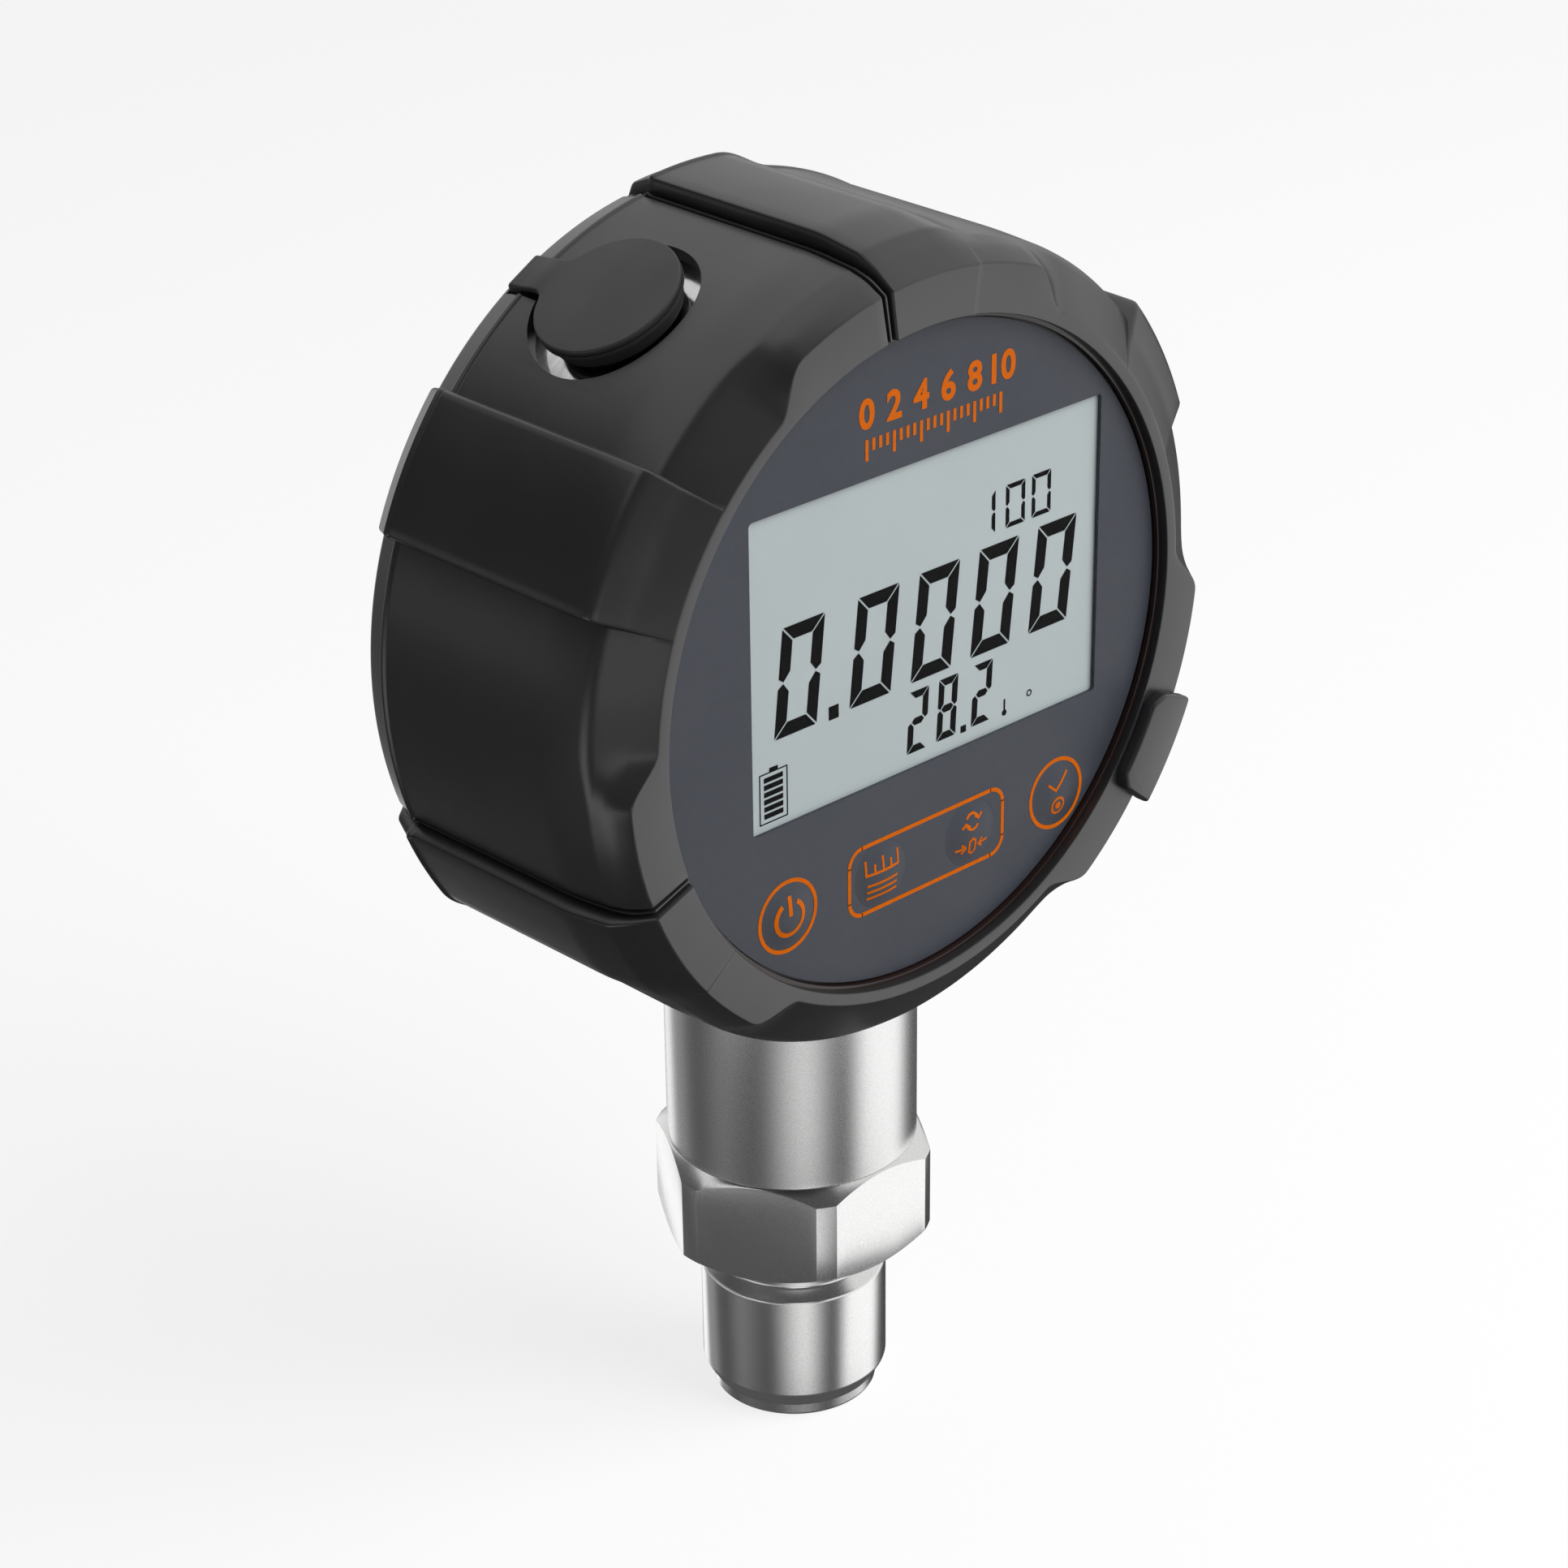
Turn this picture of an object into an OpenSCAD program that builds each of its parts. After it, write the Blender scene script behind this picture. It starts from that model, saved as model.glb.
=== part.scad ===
// Digital pressure gauge with a rubber boot and a screwed process connection.
// Millimetres. Z runs up the neck, the dial faces -Y, the origin is the middle of the screw length.

/* [Process connection] */
// Outside diameter of the screwed stub
stub_d = 20; // [16:0.5:22]
// Length of the full diameter of the stub
stub_full = 11.2; // [8:0.2:14]
// Length of the bevel at the stub's end
stub_bevel = 2.3; // [1:0.1:3]
// Length of the plain ring at the stub's tip
tip_len = 1.6; // [1:0.1:2.4]
// Diameter of the plain ring at the stub's tip
tip_d = 17.7; // [14:0.1:18]
// Length of the relief under the hexagon
relief_len = 3.6; // [2:0.1:5]
// Diameter of the relief under the hexagon
relief_d = 17.8; // [14:0.1:18]
// Length of the cone between relief and stub
relief_cone = 1.3; // [0.6:0.1:2]
// Width of the hexagon across its flats
hex_af = 27; // [24:0.5:30]
// Diameter that the hexagon's corners are turned to
hex_turned_d = 30; // [28:0.1:31]
// Height of the hexagon
hex_h = 11.4; // [8:0.2:16]
// Height of the bevel on top of the hexagon
hex_top_bevel = 1.4; // [0.6:0.1:2]
// Height of the bevel under the hexagon
hex_low_bevel = 1.1; // [0.5:0.1:2]
// Diameter of the pressure port
port_d = 5; // [3:0.1:6]

/* [Neck] */
// Outside diameter of the neck tube
neck_d = 26.6; // [24:0.1:26.8]
// Wall of the neck tube
neck_wall = 1.5; // [1:0.1:2]
// Height of the dial's centre above the hexagon
dial_rise = 60.6; // [58:0.2:70]

/* [Case] */
// Outside radius of the steel case
case_r = 39.8; // [39.4:0.1:42]
// Wall of the steel case
case_wall = 1.7; // [1.2:0.1:2]
// Room between the battery cell and the rear cover
cell_room = 1.155; // [0.7:0.005:4]
// How far the neck's axis lies behind the middle of the boot's depth
neck_off = 2.55; // [0.05:0.05:4]

/* [Boot] */
// How far the round opening lies inside the case's outside
open_in = 5.7; // [5.4:0.1:6.4]
// Thickness of the boot's front lip
lip_t = 0.9; // [0.6:0.1:1.2]
// How far the lip's outline lies inside the case's outside in its valleys
valley_in = 4.4; // [3.6:0.1:4.6]
// How far the lip's outline lies inside the case's outside on its raised thirds
lobe_in = 0.8; // [0.4:0.1:1.6]
// Depth of the ring where the bevel meets the barrel
ring_d = 3.9; // [3:0.1:5]
// Rubber over the case at that ring
ring_wall = 1; // [0.9:0.1:1.6]
// Rubber over the case on the barrel behind the ring
front_wall = 1.6; // [1.4:0.1:2.4]
// Rubber over the case at the barrel's back
back_wall = 2.1; // [1.8:0.1:3]
// Rubber over the case at the rounded back band
band_wall = 0.9; // [0.8:0.1:1.6]
// How far the boot reaches behind the steel case
back_over = 1.48; // [0.8:0.02:4]
// Height of the grip pads above the barrel
pad_h = 1.8; // [0.5:0.1:2.4]
// Height of the two strap blocks above the barrel
block_h = 1.6; // [0.5:0.1:2.4]
// Half angle of a raised third of the lip
lobe_half = 23.5; // [20:0.5:24.5]
// Angle of the slope from a raised third to a valley
lobe_slope = 8; // [6:0.5:9]
// Half angle of a grip pad
pad_half = 10; // [6:0.5:12]
// Angle of the grooves from the boot's symmetry line
groove_at = 51.6; // [48:0.2:54]
// Width of a groove
groove_w = 1.6; // [1:0.1:2.2]
// Depth of a groove
groove_deep = 0.7; // [0.3:0.1:0.8]
// Angle of the seams from the boot's symmetry line
seam_at = 69; // [64:0.5:74]
// Height of the pull tab in front of the lip
tab_h = 2.3; // [1:0.1:3]
// Half angle of the pull tab
tab_half = 9; // [6:0.5:12]

/* [Port plug] */
// Angle of the plug around the barrel
plug_at = 120; // [116:1:124]
// How far the plug's centre lies behind the middle of the boot's depth
plug_off = 3.45; // [1.05:0.05:4.05]
// Diameter of the plug's cap
cap_d = 14.8; // [12:0.1:15.4]
// Thickness of the plug's cap
cap_t = 1.2; // [0.8:0.1:1.6]
// Height of the cap's face above the steel case
cap_out = 3.1; // [2.9:0.1:3.8]
// Diameter of the hole in the boot around the plug
well_d = 17.5; // [16.6:0.1:18]
// Width of the tether strap
strap_w = 4.2; // [3.6:0.2:6]
// Thickness of the tether strap
strap_t = 0.7; // [0.5:0.1:0.8]

/* [Panel] */
// Depth of the printed panel behind the lip
panel_dep = 1.5; // [1.4:0.1:1.8]
// Width of the display window, as a share of the opening's radius
win_w_share = 1.3959; // [1.17:0.0001:1.396]
// Height of the display window, as a share of the opening's radius
win_h_share = 0.9384; // [0.76:0.0001:0.95]
// Height of the window's centre above the dial's centre, as such a share
win_up_share = 0.1261; // [0.09:0.0001:0.135]
// Distance of the window's centre to the right of the dial's centre, as such a share
win_side_share = 0.0381; // [0:0.0001:0.0381]
// Distance of the key row's middle to the right of the dial's centre, as such a share
key_side_share = 0.0205; // [0:0.0001:0.023]
// Diameter of a key's dome, as such a share
key_d_share = 0.1935; // [0.147:0.0001:0.205]
// Distance of the outer keys from the row's middle, as such a share
key_far_share = 0.5543; // [0.528:0.0001:0.586]
// Distance of the inner keys from the row's middle, as such a share
key_near_share = 0.1848; // [0.176:0.0001:0.205]
// Distance of the key row below the dial's centre, as such a share
key_down_share = 0.6305; // [0.616:0.0001:0.656]
// Travel of a key
key_travel = 0.4; // [0.2:0.1:0.5]

/* [Inside] */
// Diameter of the battery cell
cell_d = 18.4; // [15:0.1:20]
// Thickness of the main circuit board
board_t = 1.6; // [0.8:0.1:1.6]

/* [Hidden] */

$fn = 96;
// one overrun for every cut
over = case_wall * 0.6;
// running gap between pieces that move past each other
gap = lip_t / 3;
// small gap of a piece that drops into a seat
fit_gap = lip_t / 9;

// heights on the neck's axis
stub_top = stub_full / 2 + relief_cone + relief_len;
stub_low = -stub_full / 2 - stub_bevel - tip_len;
hex_top = stub_top + hex_h;
dial_z = hex_top + dial_rise;
neck_r = neck_d / 2;
neck_in_r = neck_r - neck_wall;
case_in_r = case_r - case_wall;
open_r = case_r - open_in;
valley_r = case_r - valley_in;
lobe_r = case_r - lobe_in;
ring_r = case_r + ring_wall;
barrel_front_r = case_r + front_wall;
barrel_back_r = case_r + back_wall;
band_r = case_r + band_wall;
cap_top = case_r + cap_out;

// the dial's layout follows the opening
win_w = win_w_share * open_r;
win_h = win_h_share * open_r;
win_up = win_up_share * open_r;
win_side = win_side_share * open_r;
key_side = key_side_share * open_r;
key_d = key_d_share * open_r;
key_far = key_far_share * open_r;
key_near = key_near_share * open_r;
key_down = key_down_share * open_r;

// depths behind the front lip
case_front = 4.8 * lip_t;
film_t = lip_t * 0.45;
film_back = panel_dep + film_t;
cavity_r = case_r;
flange_back = film_back;
plate_t = 2.1 * lip_t;
plate_back = film_back + plate_t;
plate_r = case_in_r - 2.3 * lip_t;
lcd_front = film_back + fit_gap;
lcd_t = 2 * lip_t;
lcd_back = lcd_front + lcd_t;
light_t = 2.2 * lip_t;
light_back = lcd_back + light_t;
board_front = light_back + 2 * lip_t;
board_back = board_front + board_t;
board_r = case_in_r - 3 * lip_t;

// the battery tray reaches across the case, and the cell fills it
cell_top_share = 0.3725;
cell_up = cell_top_share * case_in_r - cell_d / 2;
tray_t = 1.3 * lip_t;
tray_back = board_back + 3 * lip_t;
cell_dep = tray_back + tray_t + cell_d / 2 + fit_gap;
end_gap = 0.8 * lip_t;
end_t = 1.1 * lip_t;
tray_h = cell_d + 2.2 * lip_t;
tray_room = 0.75 * lip_t;
tray_out = 2 * sqrt(pow(case_in_r - tray_room, 2) - pow(cell_up + tray_h / 2, 2));
tray_len = tray_out - 2 * end_t;
cell_len = tray_len - 2 * end_gap;
tray_side = cell_d * 0.42;

// the case closes behind the cell, and the boot closes over the case
lug_top = cell_dep + cell_d / 2 + cell_room;
case_back = lug_top + 1.9 * lip_t;
boot_len = case_back + back_over;
neck_set = boot_len / 2 + neck_off;
plug_dep = boot_len / 2 + plug_off;
front_y = -neck_set;

module at_depth(d) translate([0, front_y + d, dial_z]) rotate([90, 0, 0]) children();
module slab(d0, d1) at_depth(d1) linear_extrude(height = d1 - d0) children();
module turned(pts) at_depth(0) rotate_extrude() polygon([for (p = pts) [p[0], -p[1]]]);
module turned_part(pts, a0, a1) at_depth(0) rotate([0, 0, a0])
  rotate_extrude(angle = a1 - a0) polygon([for (p = pts) [p[0], -p[1]]]);
module ring2(r0, r1) difference() { circle(r = r1); circle(r = r0); }
module round_rect(w, h, r) {
  square([w - 2 * r, h], center = true);
  square([w, h - 2 * r], center = true);
  for (x = [-1, 1]) for (z = [-1, 1]) translate([x * (w / 2 - r), z * (h / 2 - r)]) circle(r = r);
}

// boot skin
mid_at = 150;
lobe_mids = [57.75, 180];
// one pad on the symmetry line, one on the right
pad_mids = [0, 120];
edge = 0.5;
lip_rise = 0.25;
pad_shares = [0, 0, 0.35, 1.1, 1, 0.95, 0.8, 0.5, 0];
block_shares = [0, 0.15, 0.35, 0.7, 0.85, 1, 0.7, 0.35, 0];
// the lip and the back rim fall away a little towards the openings
lip_fall = lip_t / 6;
scoop = ring_d * 0.08;
st_depth = [
  lip_fall, 0, ring_d * 0.5, ring_d, ring_d * 2.3,
  boot_len - 4.2 * lip_t, boot_len - 0.9 * lip_t, boot_len, boot_len - lip_fall
];
rim_r = case_in_r - 1.3 * lip_t;
function smooth(t) = t <= 0 ? 0 : t >= 1 ? 1 : t * t * (3 - 2 * t);
function step_in(p, a, b) = smooth((p - a) / (b - a));
function near_to(p, mids) = min([for (m = mids) abs(p - m)]);
function lobe(p) = 1 - step_in(near_to(p, lobe_mids), lobe_half, lobe_half + lobe_slope);
function pad(p, side) = 1 - step_in(side > 0 ? near_to(p, pad_mids) : p, pad_half - edge, pad_half + edge);
function block(p) =
  step_in(p, groove_at, groove_at + 2 * edge) * (1 - step_in(p, seam_at - edge, seam_at + edge));
function lip_out(p) = valley_r + (lobe_r - valley_r) * lobe(p);
function base_r(p, s) =
  s == 0 ? open_r - over :
  s == 1 ? lip_out(p) :
  s == 2 ? (lip_out(p) + ring_r) / 2 + scoop * lobe(p) :
  s == 3 ? ring_r :
  s == 4 ? barrel_front_r :
  s == 5 ? barrel_back_r :
  s == 6 ? band_r :
  s == 7 ? band_r - lip_t : rim_r - over;
function skin_r(p, s, side) =
  base_r(p, s) + pad_h * pad_shares[s] * pad(p, side) + block_h * block_shares[s] * block(p);
marks = [
  0, pad_half - edge, pad_half + edge,
  lobe_mids[0] - lobe_half - lobe_slope, lobe_mids[0] - lobe_half,
  groove_at, groove_at + 2 * edge, seam_at - edge, seam_at + edge,
  lobe_mids[0] + lobe_half, lobe_mids[0] + lobe_half + lobe_slope,
  pad_mids[1] - pad_half - edge, pad_mids[1] - pad_half + edge,
  pad_mids[1] + pad_half - edge, pad_mids[1] + pad_half + edge,
  lobe_mids[1] - lobe_half - lobe_slope, lobe_mids[1] - lobe_half, lobe_mids[1]
];
wide_step = 5;
fine_step = 1.8;
function is_slope(a, b) = abs(lobe(a) - lobe(b)) > 0.5;
half_phi = [
  for (i = [0 : len(marks) - 2])
    let (a = marks[i], b = marks[i + 1], n = ceil((b - a) / (is_slope(a, b) ? fine_step : wide_step)))
      for (k = [0 : n - 1]) a + (b - a) * k / n
];
half_n = len(half_phi);
all_phi = concat(half_phi, [lobe_mids[1]], [for (i = [half_n - 1 : -1 : 1]) half_phi[i]]);
all_at = concat(
  [for (p = half_phi) mid_at + p], [mid_at + lobe_mids[1]],
  [for (i = [half_n - 1 : -1 : 1]) mid_at - half_phi[i]]);
all_side = [for (i = [0 : len(all_phi) - 1]) i > half_n ? 1 : -1];
skin_n = len(all_phi);
skin_s = len(st_depth);
skin_points = [
  for (s = [0 : skin_s - 1]) for (i = [0 : skin_n - 1])
    let (r = skin_r(all_phi[i], s, all_side[i])) [r * cos(all_at[i]), r * sin(all_at[i]), -st_depth[s]]
];
skin_faces = concat(
  [[for (i = [skin_n - 1 : -1 : 0]) i]],
  [[for (i = [0 : skin_n - 1]) (skin_s - 1) * skin_n + i]],
  [for (s = [0 : skin_s - 2]) for (i = [0 : skin_n - 1])
    let (j = (i + 1) % skin_n) [s * skin_n + i, s * skin_n + j, (s + 1) * skin_n + i]],
  [for (s = [0 : skin_s - 2]) for (i = [0 : skin_n - 1])
    let (j = (i + 1) % skin_n) [s * skin_n + j, (s + 1) * skin_n + j, (s + 1) * skin_n + i]]
);
rim_front = case_back + fit_gap;

// plug pieces are drawn along +Z and stood on the barrel
module on_barrel(r) translate([0, front_y + plug_dep, dial_z]) rotate([0, 90 - plug_at, 0])
  translate([0, 0, r]) children();
knuckle_r = 1.3 * lip_t;
knuckle_back = boot_len - 2.9 * lip_t - plug_dep;
knuckle_top = cap_top - knuckle_r;
strap_low = cap_top - strap_t;

module groove_cut(at) {
  rim = (lobe_r + ring_r) / 2;
  w = 2 * asin(groove_w / 2 / barrel_back_r);
  // along the barrel
  turned_part([
    [ring_r - groove_deep, ring_d * 0.6], [ring_r + case_wall * 2, ring_d * 0.6],
    [barrel_back_r + case_wall * 2, boot_len + over], [band_r - groove_deep, boot_len + over],
    [band_r - groove_deep, boot_len - 0.9 * lip_t], [barrel_back_r - groove_deep, boot_len - 4.2 * lip_t],
    [barrel_front_r - groove_deep, ring_d * 2.3]], at - w / 2, at + w / 2);
  // over the bevel and the lip
  turned_part([
    [open_r - over, -over], [ring_r + case_wall * 2, -over], [ring_r + case_wall * 2, ring_d * 0.7],
    [ring_r - groove_deep, ring_d * 0.7], [rim - groove_deep, ring_d * 0.45],
    [lobe_r - 1.6 * groove_deep, groove_deep * 0.8], [open_r - over, groove_deep * 0.8]],
    at - w / 2, at + w / 2);
}

module boot() color([0.13, 0.13, 0.14]) {
  difference() {
    at_depth(0) polyhedron(points = skin_points, faces = skin_faces, convexity = 6);
    // room for the case, the dial and the back
    slab(case_front - over / 4, rim_front) circle(r = cavity_r);
    // the cone over the bezel
    at_depth(case_front) cylinder(r1 = cavity_r, r2 = valley_r, h = case_front - lip_t);
    slab(-over, lip_t + over) circle(r = open_r);
    slab(rim_front - over, boot_len + over) circle(r = rim_r);
    // the neck comes through the underside
    translate([0, 0, hex_top]) cylinder(r = neck_r + fit_gap, h = dial_rise - case_in_r);
    // well around the plug and the notch for its strap
    on_barrel(case_in_r) cylinder(d = well_d, h = case_wall * 4);
    on_barrel(knuckle_top) translate([0, knuckle_back, 0]) rotate([0, 90, 0])
      cylinder(r = knuckle_r + gap, h = strap_w + 2 * gap, center = true);
    // shallow bed under the strap
    on_barrel(knuckle_top - knuckle_r - gap) translate([-strap_w / 2 - gap, 0, 0])
      cube([strap_w + 2 * gap, knuckle_back, cap_d]);
    groove_cut(mid_at + groove_at);
    groove_cut(mid_at - groove_at);
  }
  pull_tab();
}

module pull_tab() {
  tab_in = valley_r;
  tab_out = lobe_r + lip_t / 3;
  c = tab_h / 4;
  turned_part([
    [tab_in, lip_t / 3], [tab_in, -tab_h + c], [tab_in + c, -tab_h],
    [tab_out - c, -tab_h], [tab_out, -tab_h + c],
    [tab_out, -tab_h * 0.2], [lobe_r - lip_t / 3, lip_t / 3]],
    mid_at + lobe_mids[1] - tab_half, mid_at + lobe_mids[1] + tab_half);
}

// port plug with its tether
stem_d = cap_d - 1.5 * lip_t;
stem_low = case_r + gap;
spigot_share = 0.554;
spigot_d = spigot_share * cap_d;
spigot_low = case_r - 2.6 * lip_t;
spigot_wall = 1.3 * lip_t;
bush_in_r = spigot_d / 2 + 1.8 * gap;

module port_plug() color([0.16, 0.16, 0.17]) {
  on_barrel(0) difference() {
    union() {
      translate([0, 0, cap_top - cap_t]) cylinder(d1 = cap_d, d2 = cap_d - cap_t / 2, h = cap_t);
      translate([0, 0, stem_low]) cylinder(d = stem_d, h = cap_top - cap_t - stem_low + over / 4);
      translate([0, 0, spigot_low]) cylinder(d = spigot_d, h = stem_low - spigot_low + over / 4);
      // strap back to the knuckle
      translate([-strap_w / 2, cap_d * 0.3, strap_low])
        cube([strap_w, knuckle_back - cap_d * 0.3, strap_t]);
      // flared root of the strap
      translate([0, 0, strap_low]) linear_extrude(height = strap_t)
        polygon([[-cap_d * 0.36, cap_d * 0.3], [cap_d * 0.36, cap_d * 0.3],
          [strap_w / 2, cap_d * 0.58], [-strap_w / 2, cap_d * 0.58]]);
      translate([0, knuckle_back, knuckle_top]) rotate([0, 90, 0])
        cylinder(r = knuckle_r, h = strap_w, center = true);
    }
    translate([0, 0, spigot_low - over]) cylinder(d = spigot_d - 2 * spigot_wall, h = over + 2 * lip_t);
  }
}

// steel case
lug_at = [45, 135, 225, 315];
lug_r = case_in_r - 4.3 * lip_t;
lug_len = 7 * lip_t;
lug_rad = 3.4 * lip_t;
gasket_t = lip_t * 0.55;
seat_dep = lug_top - gasket_t;
seat_r = case_in_r + case_wall * 0.35;
screw_r = lip_t * 1.35;
bush_hole_r = bush_in_r + 1.6 * lip_t;
cable_hole_r = 5.5 * lip_t;

module case_shell() color([0.72, 0.73, 0.75]) {
  difference() {
    union() {
      slab(case_front, case_back) ring2(case_in_r, case_r);
      intersection() {
        slab(lug_top - lug_len, lug_top) for (a = lug_at) rotate([0, 0, a]) {
          translate([lug_r, 0]) circle(r = lug_rad);
          translate([lug_r, -lug_rad]) square([case_r - lug_r, 2 * lug_rad]);
        }
        slab(case_front, case_back) circle(r = case_r - case_wall / 2);
      }
    }
    slab(seat_dep, lug_top) ring2(case_in_r - fit_gap, seat_r);
    slab(lug_top, case_back + over) circle(r = seat_r);
    slab(lug_top - lug_len * 0.8, case_back) for (a = lug_at) rotate([0, 0, a])
      translate([lug_r, 0]) circle(r = screw_r);
    on_barrel(case_in_r - over) cylinder(r = bush_hole_r + fit_gap, h = case_wall + 2 * over);
    translate([0, 0, hex_top]) cylinder(r = cable_hole_r, h = dial_rise - case_in_r + over * 3);
  }
}

cover_r = seat_r - fit_gap;
cover_back = case_back - lip_t * 0.2;
head_r = screw_r * 1.9;
module rear_cover() color([0.68, 0.69, 0.71]) {
  difference() {
    slab(lug_top, cover_back) circle(r = cover_r);
    // dished middle
    turned([
      [0, cover_back - 0.5 * lip_t], [0, cover_back + over], [case_in_r * 0.72 + over, cover_back + over],
      [case_in_r * 0.72, cover_back - 0.5 * lip_t]]);
    slab(lug_top - over, cover_back + over) for (a = lug_at) rotate([0, 0, a])
      translate([lug_r, 0]) circle(r = screw_r + fit_gap);
    for (a = lug_at) turned_head(a) cylinder(r = head_r + fit_gap, h = over * 3);
  }
}
head_seat = cover_back - lip_t;
module turned_head(a) translate([0, front_y, dial_z]) rotate([0, -a, 0])
  translate([lug_r, head_seat, 0]) rotate([-90, 0, 0]) children();

module rear_gasket() color([0.08, 0.08, 0.08])
  slab(seat_dep, lug_top) ring2(case_in_r, cover_r);

module rear_screws() color([0.8, 0.8, 0.8]) for (a = lug_at) turned_head(a) {
  difference() {
    cylinder(r1 = head_r, r2 = head_r * 0.86, h = lip_t * 0.8);
    // hexagon socket
    translate([0, 0, lip_t * 0.25]) cylinder(r = head_r * 0.5, h = lip_t, $fn = 6);
  }
  translate([0, 0, -lug_len * 0.7]) cylinder(r = screw_r, h = lug_len * 0.7);
}

// bezel and panel
bezel_in = open_r - 0.5 * lip_t;
skirt_out = case_in_r - fit_gap;
skirt_in = plate_r + fit_gap;
skirt_back = flange_back + 6.6 * lip_t;
seal_r = lip_t * 0.7;
seal_dep = flange_back + 4 * lip_t;
module bezel_ring() color([0.05, 0.045, 0.045]) difference() {
  turned([
    [bezel_in, lip_t], [valley_r - fit_gap, lip_t], [case_r - fit_gap, case_front], [skirt_out, case_front],
    [skirt_out, skirt_back], [skirt_in, skirt_back], [skirt_in, flange_back], [bezel_in, flange_back]]);
  turned([
    [skirt_out - seal_r * 1.5, seal_dep - seal_r], [skirt_out + over, seal_dep - seal_r],
    [skirt_out + over, seal_dep + seal_r], [skirt_out - seal_r * 1.5, seal_dep + seal_r]]);
}
module bezel_seal() color([0.1, 0.1, 0.1]) turned([
  [skirt_out - seal_r * 1.5, seal_dep - seal_r], [case_in_r, seal_dep - seal_r],
  [case_in_r, seal_dep + seal_r], [skirt_out - seal_r * 1.5, seal_dep + seal_r]]);

key_hole_r = key_d / 2 + gap * 0.7;
flange_r = key_d / 2 + 1.1 * lip_t;
flange_front = film_back + 1.1 * lip_t;
flange_t = 0.8 * lip_t;
key_row = -key_down;
key_xs = [key_side - key_far, key_side - key_near, key_side + key_near, key_side + key_far];
film_r = bezel_in - 2 * fit_gap;
lcd_w = win_w + 4.6 * lip_t;
lcd_h = win_h + 4.2 * lip_t;
module front_film() color([0.3, 0.31, 0.34]) slab(panel_dep, film_back) difference() {
  circle(r = film_r);
  translate([win_side, win_up]) round_rect(win_w, win_h, lip_t / 2);
  for (x = key_xs) translate([x, key_row]) circle(r = key_hole_r);
}
// sideways and upward places of the bosses, as shares of the case's inside radius
boss_shares = [[0.349, 0.745], [-0.349, 0.745], [-0.716, -0.425], [0.724, -0.425]];
boss_r = 2.2 * lip_t;
pilot_r = lip_t;
module at_boss() for (b = boss_shares) translate([b[0] * case_in_r, b[1] * case_in_r]) children();
module front_plate() color([0.2, 0.2, 0.21]) difference() {
  union() {
    slab(film_back, plate_back) circle(r = plate_r);
    slab(plate_back - over / 4, board_front) at_boss() circle(r = boss_r);
  }
  slab(film_back - over, plate_back + over) translate([win_side, win_up])
    square([lcd_w + 2 * fit_gap, lcd_h + 2 * fit_gap], center = true);
  for (x = key_xs) {
    slab(film_back - over, plate_back + over) translate([x, key_row]) circle(r = key_hole_r + fit_gap);
    slab(flange_front - gap * 0.7, plate_back + over) translate([x, key_row]) circle(r = flange_r + gap);
  }
  slab(plate_back, board_front + over) at_boss() circle(r = pilot_r);
}
module window_pane() color([0.85, 0.9, 0.92, 0.35]) slab(panel_dep, film_back) translate([win_side, win_up])
  round_rect(win_w - 2 * fit_gap, win_h - 2 * fit_gap, lip_t / 2);
module lcd_glass() color([0.71, 0.75, 0.76])
  slab(lcd_front, lcd_back) translate([win_side, win_up]) difference() {
  square([lcd_w, lcd_h], center = true);
  // filling notch at the edge of the glass
  translate([lcd_w / 2, -lcd_h / 4]) circle(r = lip_t);
}
module lcd_backlight() color([0.92, 0.94, 0.95])
  slab(lcd_back, light_back) translate([win_side, win_up]) {
  square([win_w + lip_t, win_h - 2 * lip_t], center = true);
  translate([win_w / 2, 0]) square([2 * lip_t, win_h / 3], center = true);
}
strip_w = 1.8 * lip_t;
module lcd_strips() color([0.85, 0.55, 0.6]) slab(lcd_back, board_front) for (s = [-1, 1])
  translate([win_side, win_up + s * (lcd_h / 2 - strip_w)]) square([win_w, strip_w], center = true);

// keys
plunger_r = key_d / 4;
plunger_back = flange_front + flange_t + 1.6 * lip_t;
dome_h = lip_t / 2;
module key_at(x) color([0.31, 0.32, 0.35]) {
  slab(panel_dep, flange_front + over / 4) translate([x, key_row]) circle(d = key_d);
  slab(flange_front, flange_front + flange_t) translate([x, key_row]) circle(r = flange_r);
  slab(flange_front, plunger_back) translate([x, key_row]) circle(r = plunger_r);
  // low round dome over the printed panel
  translate([x, front_y + panel_dep, dial_z + key_row]) rotate([90, 0, 0]) dome(key_d / 2, dome_h);
}
module dome(r, h) {
  ball = (r * r + h * h) / (2 * h);
  intersection() {
    translate([0, 0, h - ball]) sphere(r = ball);
    translate([0, 0, -over / 4]) cylinder(r = r, h = h + over);
  }
}
module key_power() key_at(key_xs[0]);
module key_unit() key_at(key_xs[1]);
module key_mode() key_at(key_xs[2]);
module key_set() key_at(key_xs[3]);
switch_w = key_d * 0.9;
switch_top = plunger_back + key_travel + fit_gap;
module key_switches() color([0.1, 0.1, 0.1]) for (x = key_xs) {
  slab(switch_top + 0.9 * lip_t, board_front) translate([x, key_row])
    square([switch_w, switch_w], center = true);
  slab(switch_top, switch_top + lip_t) translate([x, key_row]) circle(r = plunger_r);
}

// boards
module main_board() color([0.07, 0.32, 0.17]) slab(board_front, board_back) difference() {
  circle(r = board_r);
  at_boss() circle(r = pilot_r + fit_gap);
  // flats at the sides let the wires past
  for (s = [-1, 1]) translate([s * board_r, -board_r * 0.62]) circle(r = 2.4 * lip_t);
}
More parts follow.
